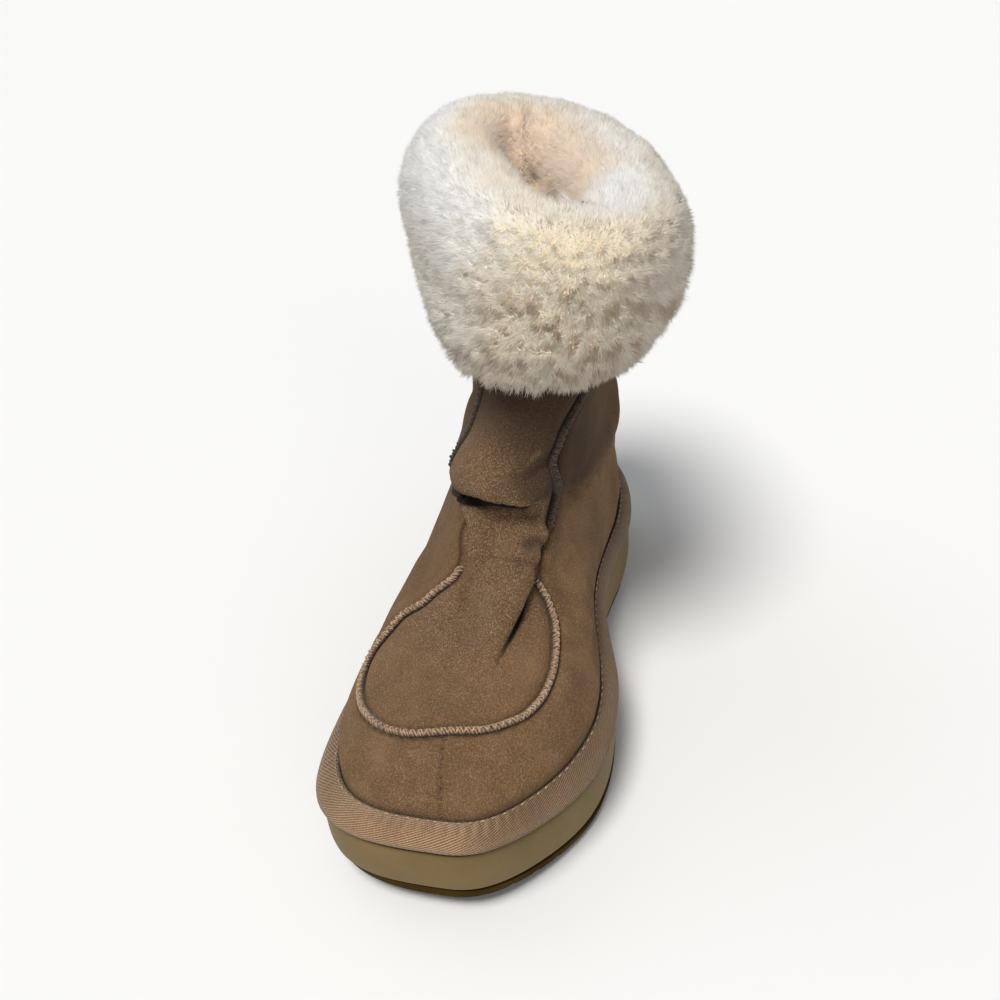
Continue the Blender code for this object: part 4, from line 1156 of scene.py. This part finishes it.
midsole = {
    "sideSteps": 240,
    # inset, extra inset at the toe, less on the inner side in front, share of the thickness
    "edge": [(6.0, 1.5, 0.6, 0.0), (2.4, 1.5, 0.6, 0.0), (1.5, 1.4, 0.5, 0.03), (0.7, 0.8, 0.3, 0.10),
             (0.1, 0.4, 0.1, 0.35), (0.0, 0.1, 0.0, 0.62), (0.1, 0.0, 0.0, 0.88), (0.4, 0.0, 0.0, 0.97),
             (1.3, 0.0, 0.0, 1.0), (6.0, 0.0, 0.0, 1.0)],
    "sectionSteps": 30,
    "uneven": (0.25, 30.0, 21),      # unevenness of the walls: height, width of one wave, seed
}
outsole = {
    "sideSteps": 330,
    "acrossSteps": 90,
    # as for the midsole
    "edge": [(3.3, 1.5, 1.6, 0.0), (2.9, 1.5, 1.6, 0.12), (2.3, 1.5, 1.6, 0.36), (2.0, 1.5, 1.6, 0.6),
             (1.8, 1.5, 1.6, 0.94), (5.0, 1.5, 1.6, 0.94)],
    "sectionSteps": 18,
    "lug": 2.0,
    "pitch": 7.5,
    "groove": 2.4,
    "firstGroove": 16.0,
    "lastGroove": 252.0,
    "zigzag": 1.1,
    "zigzagWidth": 13.0,
    "centrePlace": 1.0,      # the groove along the middle: how far to the inner side, half width,
    "centreGroove": 1.3,
    "centreRun": (24, 28, 244, 248),         # and where it begins and ends
    "sharpAngle": 50.0,
}


# Rings for a layer whose height is given between bottom(run) and top(run), and the rise of each.
def layerRings(settings, bottom, top):
    share = stations(settings["sideSteps"])
    section = alongTable(settings["edge"], settings["sectionSteps"])
    points = soleRings(share, section[:, 0], section[:, 1], section[:, 2])
    run = points[..., 1]
    points[..., 2] = bottom(run) + section[:, 3][:, None] * (top(run) - bottom(run))
    return points, section[:, 3]


# Strips that run straight across between the two sides of a ring, as a grid from toe to heel.
def crossGrid(ring, steps):
    inner, outer = halves(ring)
    share = np.linspace(0, 1, steps + 1)[None, :, None]
    return outer[:, None] * (1 - share) + inner[:, None] * share


# A closed layer: its walls, and the strips over its top and its bottom. dark is painted shade, for
# the walls only.
def makeLayer(name, walls, top, bottom, finish, node, dark=None):
    first = [walls.size // 3, (walls.size + top.size) // 3]
    faces = [gridFaces(*walls.shape[:2]), gridFaces(*top.shape[:2], ring=False) + first[0],
             gridFaces(*bottom.shape[:2], ring=False, flip=True) + first[1]]
    points = np.concatenate([grid.reshape(-1, 3) for grid in (walls, top, bottom)])
    attributes = {}
    if dark is not None:
        attributes["crease"] = np.concatenate([dark.ravel(), np.zeros(len(points) - first[0])])
    piece = makePiece(name, points, np.concatenate(faces), finish, attributes=attributes,
                      replaces=(node,))
    closeUp(piece)
    return piece


# The foam's section carried round the sole, moved out and in along the plan normals by soft noise.
def makeMidsole():
    points, rise = layerRings(midsole, midsoleBottom, midsoleTop)
    body = (rise > 0.1) & (rise < 0.95)
    height, size, seed = midsole["uneven"]
    points += planNormals(points) * (body[:, None] * height * cloud(points, size, seed))[..., None]
    # Painted shade along the top and the bottom of the wall, where the tape and the outsole meet it.
    edge = np.maximum(ramp(rise, 0.97, 1.0), 0.7 * ramp(rise, 0.08, 0.0))
    makeLayer("foamMidsole", points, crossGrid(points[-1], 10), crossGrid(points[0], 10), foamFinish,
              "midsole", np.broadcast_to(edge[:, None], points.shape[:2]))


# 1 in a groove of the tread, 0 on a lug; grooves run across in shallow zigzags.
def grooveShare(run, side):
    pitch, half = outsole["pitch"], outsole["groove"] / 2
    zig = np.abs((side / outsole["zigzagWidth"]) % 2.0 - 1.0) - 0.5
    place = run - outsole["firstGroove"] + zig * 2 * outsole["zigzag"]
    offset = np.abs((place + pitch / 2) % pitch - pitch / 2)
    inRange = (place > -pitch / 2) & (place < outsole["lastGroove"] - outsole["firstGroove"])
    return (1.0 - ramp(offset, half - 0.25, half + 0.25)) * inRange


# The tread's section carried round the sole; its underside is the tread's height, raised by the depth
# of a lug in every groove.
def makeOutsole():
    points, _ = layerRings(outsole, treadHeight, midsoleBottom)
    side, run, height = np.moveaxis(points, -1, 0)
    points[..., 2] = np.maximum(height, treadHeight(run) + outsole["lug"] * grooveShare(run, side))
    bottom = crossGrid(points[0], outsole["acrossSteps"])
    side, run, height = np.moveaxis(bottom, -1, 0)
    centre = np.exp(-(np.abs(side - outsole["centrePlace"]) / outsole["centreGroove"])**4)
    cut = np.maximum(grooveShare(run, side), centre * plateau(run, *outsole["centreRun"]))
    bottom[1:-1, 1:-1, 2] = (treadHeight(run) + outsole["lug"] * cut)[1:-1, 1:-1]
    piece = makeLayer("treadOutsole", points, crossGrid(points[-1], 12), bottom, rubberFinish,
                      "outsole")
    piece.data.set_sharp_from_angle(angle=np.radians(outsole["sharpAngle"]))


makeMidsole()
makeOutsole()


cuff = {
    # out from the shaft's outer face, drop below the collar; from the lip inside, over the top, down
    # the outside to the hem and up the back
    "section": [(-3.9, 34.0), (-10.0, 38.0), (-15.5, 26.0), (-16.5, 10.0), (-12.5, -3.0), (-3.0, -8.5),
                (8.0, -7.5), (16.5, -0.5), (21.0, 12.0), (22.5, 27.0), (22.0, 41.0), (17.5, 52.0),
                (10.0, 54.0), (4.0, 40.0), (1.0, 4.0), (0.8, -1.0), (-3.5, -1.0)],
    # stretches along the section, counted in its steps: where each begins, is full, starts to fade and
    # has ended
    "woollyPlace": (0.6, 1.6, 12.2, 13.0),
    "topPlace": (3.6, 5.0, 6.8, 8.5),
    "innerPlace": (0.8, 1.8, 3.6, 5.4),
    "outerPlace": (5.0, 8.0, 11.0, 13.0),
    "shrink": 5.2,           # the skin lies this far below the ends of the hairs
    "topShrink": 0.8,        # and this much further along the top
    "shift": 1.8,            # how far the outside of the roll stands over to the outer side
    "innerSwell": 2.6,       # how much further the wool stands into the shaft,
    "innerSide": 7.5,        # and how much more on the inner side
    "sideSteps": 120,
    "sectionSteps": 100,
    "hemLift": 9.0,
    "lumps": [(1.3, 26.0, 31), (0.7, 11.0, 32)],     # height, width, seed
    # fold in the wool inside the collar
    "pinch": [(-1.7, 230.0, 216.0), (-1.7, 226.6, 203.0), (-2.3, 227.4, 194.0), (-2.0, 226.0, 180.0)],
    "pinchDepth": 5.0,
    "pinchWidth": 2.8,
    "pinchRim": (1.2, 5.0, 2.5),     # height of the rim beside it, distance, width
}
# Places in pile are steps of the cuff's section, with fractions.
pile = {
    "pieces": 3,
    "hairs": 57000,          # in each piece
    "length": 6.4,
    "thickness": 0.25,       # radius at the root
    "lengths": (0.8, 1.1),   # spread of the lengths and of the thicknesses
    "thicknesses": (0.7, 1.2),
    "clumpSize": 3.1,
    "clumpSeed": 60,
    "clumpRise": 0.20,       # share by which hairs are longer in the middle of a clump
    "clumpPull": 0.58,       # how far hairs lean into the middle of a clump
    "fineSize": 2.4,         # the same for the fine clumps
    "fineSeed": 61,
    "fineRise": 0.08,
    "finePull": 0.50,
    "calm": 0.5,             # share of the clumping, and of the longer middles, above the lower wool
    "calmRise": 0.4,
    "bend": 0.8,             # how far a hair, and the light on it, follow these leans
    "shadeBend": 0.7,
    "lean": 0.55,            # towards the hem,
    "hemLean": 0.40,         # and so much more at the hem
    "stray": 0.30,
    "sparse": (2.2, 0.6),    # up to here inside the shaft there are fewer hairs, by this share
    "plush": 0.35,           # share by which the hairs along the top are shorter
    "top": (3.6, 5.0, 6.8, 8.4),
    "lower": (7.4, 9.2),     # from here the clumps stand out
    "hem": (9.0, 11.5),
    "spread": 0.25,          # how far single hairs differ in colour
    "creamPlace": (35.4, 111.4, 208.8),
    "creamWidth": 22.0,
    "paintedLightFrom": (-0.75, 0.05, 0.65),        # direction that the wool with painted light faces
}


# The cuff's section carried round the shaft; each point of the section follows the ring of the
# upper at its own height, moved out along the ring's plan normal.
def makeCuffGrid():
    rows = cuff["sectionSteps"]
    out, drop = alongTable(cuff["section"], rows).T
    heights = np.array(last["rings"])[:, 1]
    levels = np.interp(collarHeight - np.clip(drop, 0, None), heights, np.arange(len(heights)))
    rings = upperRings(levels, stations(cuff["sideSteps"], 1.15))
    up = collarHeight - drop[:, None] - rings[..., 2].mean(axis=1, keepdims=True)
    side, run = rings[..., 0], rings[..., 1]
    middle = side.mean(axis=1, keepdims=True)
    outward = np.clip((middle - side) / np.ptp(side, axis=1)[:, None] * 2.0, 0.0, 1.0)
    longest = max(row[1] for row in cuff["section"])
    up = up + (out > 0)[:, None] * cuff["hemLift"] * outward * np.clip(drop, 0, None)[:, None] / longest
    place = np.linspace(0, len(cuff["section"]) - 1, rows)
    innerSide = ramp(side - middle, 0.0, 22.0)
    front = ramp(run.mean(axis=1, keepdims=True) - run, -8.0, 14.0)
    swell = cuff["innerSwell"] + cuff["innerSide"] * innerSide * (0.3 + 0.7 * front)
    swell = plateau(place, *cuff["innerPlace"])[:, None] * swell
    points = rings + planNormals(rings) * (out[:, None] - swell)[..., None]
    points[..., 2] += up
    points[..., 0] -= (cuff["shift"] * plateau(place, *cuff["outerPlace"]))[:, None]
    return points, place


# Value and slope of the soft noise, by small steps along the three axes.
def cloudSlope(points, size, seed):
    value = cloud(points, size, seed)
    slope = np.stack([cloud(points + 0.1 * size * axis, size, seed) - value for axis in np.eye(3)], axis=-1)
    return value, slope / 0.1


# The skin: the cuff's grid moved in along its normals by the length of the wool, with soft lumps, and
# the fold inside the collar as a trough with a rim.
def makeCuffSkin():
    points, place = makeCuffGrid()
    normals = -gridNormals(points)
    woolly = plateau(place, *cuff["woollyPlace"])
    lump = sum(depth * cloud(points, size, seed) for depth, size, seed in cuff["lumps"])
    top = cuff["topShrink"] * plateau(place, *cuff["topPlace"])
    skin = points + normals * ((lump - cuff["shrink"] - top[:, None]) * woolly[:, None])[..., None]
    distance, _, _ = distanceToPath(points, normals, cuff["pinch"])
    pinched = bell(distance, cuff["pinchWidth"])
    rim, away, width = cuff["pinchRim"]
    skin -= normals * (cuff["pinchDepth"] * pinched - rim * bell(distance - away, width))[..., None]
    back = ramp(points[..., 1] - points[..., 1].mean(axis=1, keepdims=True), -6.0, 10.0)
    inside = np.clip(ramp(place[:, None] - 0.9 * back, 4.6, 2.8) + 0.8 * pinched, 0, 1)
    makePiece("cuffSkin", skin, gridFaces(*skin.shape[:2], tube=True, flip=True), fleeceFinish,
              attributes={"inside": inside}, replaces=("fleece_cuff",))
    return skin, place, woolly, pinched, inside


# Hairs: three-sided points rooted all over the skin. Each leans uphill on two soft noises and is longer
# on their tops, so that the tips meet in clumps; all lean down towards the hem. They cast no shadow,
# because the wool lets the light through to the hairs behind.
def makeHairs(number, skin, place, woolly, pinched, inside):
    normals = -gridNormals(skin)
    down = np.gradient(skin, axis=0)
    area = np.linalg.norm(np.cross(np.roll(skin, -1, axis=1) - skin, down), axis=-1) * woolly[:, None]
    low, share = pile["sparse"]
    area *= np.where(place < low, share, 1.0)[:, None]
    area[-1] = 0.0
    chance = np.random.default_rng(49 + number)
    count = pile["hairs"]
    cell = chance.choice(area.size, count, p=(area / area.sum()).ravel())
    row = cell // skin.shape[1] + chance.uniform(0, 1, count)
    column = cell % skin.shape[1] + chance.uniform(0, 1, count)
    row = np.minimum(row, skin.shape[0] - 1.001)
    root = readGrid(skin, row, column)
    normal = unit(readGrid(normals, row, column))
    comb = unit(readGrid(down, row, column))
    pinchHere = readGrid(pinched, row, column)
    where = np.interp(row, np.arange(len(place)), place)
    hem = ramp(where, *pile["hem"])
    lower = ramp(where, *pile["lower"])
    value, slope = cloudSlope(root, pile["clumpSize"], pile["clumpSeed"])
    fineValue, fineSlope = cloudSlope(root, pile["fineSize"], pile["fineSeed"])

    clumped = pile["calm"] + (1.0 - pile["calm"]) * lower
    pull = clumped[:, None] * pile["clumpPull"] * slope + pile["finePull"] * fineSlope
    bend = comb * (pile["lean"] + pile["hemLean"] * hem)[:, None] + pull
    bend += chance.normal(0, pile["stray"], (count, 3))
    bend -= normal * (bend * normal).sum(axis=-1, keepdims=True)
    along = unit(normal + pile["bend"] * bend)
    raised = pile["calmRise"] + (1.0 - pile["calmRise"]) * lower
    rise = 1.0 + pile["clumpRise"] * raised * value + pile["fineRise"] * fineValue
    rise *= 1.0 - pile["plush"] * plateau(where, *pile["top"])
    rise *= (1.0 - 0.5 * pinchHere) * (1.0 - 0.10 * lower) * (1.0 - 0.10 * hem)
    length = pile["length"] * rise * chance.uniform(*pile["lengths"], count)
    side = unit(np.cross(along, chance.normal(size=(count, 3))))
    other = np.cross(along, side)
    thick = pile["thickness"] * chance.uniform(*pile["thicknesses"], count)[:, None]
    ring = [root + thick * (np.cos(turn) * side + np.sin(turn) * other)
            for turn in np.radians([0.0, 120.0, 240.0])]
    corners = np.stack([*ring, root + length[:, None] * along], axis=1)
    cone = np.array([(0, 1, 3), (1, 2, 3), (2, 0, 3)])
    faces = (cone[None] + (np.arange(count) * 4)[:, None, None]).reshape(-1, 3)

    # Looks of the hairs. Painted light whitens the wool that faces the light's direction in pile. The gap
    # look is painted shade: between the clumps, on wool facing away from that light, on the lower wool, at
    # the hem and in the pinch. The tone look warms the wool at random and round the cream place, and warms
    # the lower wool as painted shade.
    spread = pile["spread"]
    own = chance.uniform(-spread, spread, count) * (0.5 + 0.5 * lower)
    cream = bell(np.linalg.norm(root - pile["creamPlace"], axis=-1), pile["creamWidth"])
    sky = normal @ unit(np.array(pile["paintedLightFrom"]))
    paintedLight = np.clip(ramp(sky, 0.25, 0.95) * (1.0 - 0.6 * lower) * (1.0 - 0.8 * cream) + 0.5 * own, 0, 1)
    between = (0.20 + 0.75 * lower) * ramp(-0.6 * value - 0.8 * fineValue, 0.0, 0.6)
    shaded = 0.16 * (1.0 - paintedLight) + (0.06 + 1.5 * own) * lower + 0.35 * hem
    inner = np.clip(readGrid(inside, row, column) + 0.4 * own, 0, 1)
    looks = {"tone": np.clip(0.30 + 0.3 * cloud(root, 20.0, 80) + 0.25 * lower + 0.5 * cream + own, 0, 1),
             "gap": np.maximum(np.clip(between + shaded, 0, 1), 0.9 * pinchHere),
             "paintedLight": paintedLight * (1 - inner), "inside": inner}
    looks = {label: np.repeat(value, 4) for label, value in looks.items()}
    piece = makePiece("cuffPile" + str(number), corners, faces, pileFinish,
                      attributes={"along": np.tile([0.1, 0.1, 0.1, 1.0], count), **looks})
    shade = np.repeat(unit(normal + pile["shadeBend"] * bend), 4, axis=0)
    piece.data.normals_split_custom_set_from_vertices(shade)
    piece.visible_shadow = False


cuffSkin = makeCuffSkin()
for number in range(1, pile["pieces"] + 1):
    makeHairs(number, *cuffSkin)


lining = {"thickness": 5.5, "clearance": 4.5, "rows": 60, "sideSteps": 70, "lump": 0.8, "inside": 0.6}


# Lining of the shaft and foot: the upper's own rings drawn inwards, with soft lumps.
def makeLining():
    levels = np.linspace(0.4, 13.2, lining["rows"])
    rings = upperRings(levels, stations(lining["sideSteps"]))
    deep = lining["thickness"] + lining["clearance"] * (1.0 - ramp(levels, 11.0, 13.0))
    points = rings - planNormals(rings) * deep[:, None, None]
    points += planNormals(rings) * (lining["lump"] * cloud(points, 7.0, 41))[..., None]
    makePiece("shaftLining", points, gridFaces(*points.shape[:2], flip=True), fleeceFinish,
              attributes={"inside": np.full(points.shape[:2], lining["inside"])})


makeLining()
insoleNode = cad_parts["insole"]
insoleNode.data.materials.clear()
insoleNode.data.materials.append(fleeceFinish)


studio = {
    "floor": (0.88, 0.88, 0.875),
    "floorReach": 4.0,       # metres
    "cameraPlace": (0.10023, -0.38625, 0.354),
    "azimuth": 16.135,
    "pitch": 33.396,
    "roll": -4.834,
    "lens": 43.2,
    "air": 0.25,
    "airColour": (0.93, 0.96, 1.0),
    # name, place that it shines from towards the origin, strength, width in degrees, tint
    "lights": [("keyLight", (-0.15, -0.50, 1.12), 2.6, 22.0, (1.0, 0.98, 0.95)),
               ("windowLight", (-0.90, 0.35, 1.00), 0.30, 50.0, (0.86, 0.93, 1.0)),
               ("frontLight", (0.60, -1.15, 0.50), 0.50, 40.0, (1.0, 0.96, 0.92))],
}


# A floor, the light of the air, three soft suns and the camera.
def makeStudio():
    scene = bpy.context.scene
    floorMesh = bpy.data.meshes.new("floor")
    reach = studio["floorReach"]
    corners = [(-reach, -reach, 0), (reach, -reach, 0), (reach, reach, 0), (-reach, reach, 0)]
    floorMesh.from_pydata(corners, [], [(0, 1, 2, 3)])
    floor = bpy.data.objects.new("floor", floorMesh)
    scene.collection.objects.link(floor)
    look = Shader("pale floor", 0.9, 0.1)
    look.surface.inputs["Base Color"].default_value = (*studio["floor"], 1)
    floorMesh.materials.append(look.material)

    world = bpy.data.worlds.new("studio air")
    world.use_nodes = True
    world.node_tree.nodes["Background"].inputs["Color"].default_value = (*studio["airColour"], 1)
    world.node_tree.nodes["Background"].inputs["Strength"].default_value = studio["air"]
    scene.world = world

    for name, place, power, width, tint in studio["lights"]:
        data = bpy.data.lights.new(name, "SUN")
        data.energy = power
        data.angle = np.radians(width)
        data.color = tint
        light = bpy.data.objects.new(name, data)
        scene.collection.objects.link(light)
        side, run, height = place
        light.location = place
        tilt = np.arctan2(np.hypot(side, run), height)
        light.rotation_euler = Euler((tilt, 0, np.arctan2(-run, -side) - np.pi / 2))

    data = bpy.data.cameras.new("camera")
    data.lens = studio["lens"]
    data.sensor_width = 36.0
    camera = bpy.data.objects.new("camera", data)
    scene.collection.objects.link(camera)
    camera.location = studio["cameraPlace"]
    turn = Euler((np.radians(90 - studio["pitch"]), 0, np.radians(studio["azimuth"]))).to_matrix()
    roll = Euler((0, 0, np.radians(studio["roll"]))).to_matrix()
    camera.rotation_euler = (turn @ roll).to_euler()
    scene.camera = camera
    scene.view_settings.view_transform = "Standard"


makeStudio()
pieces = [piece for piece in bpy.data.objects if piece.type == "MESH" and piece.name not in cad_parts]
triangles = sum(len(face.vertices) - 2 for piece in pieces for face in piece.data.polygons)
print("triangles added", triangles)
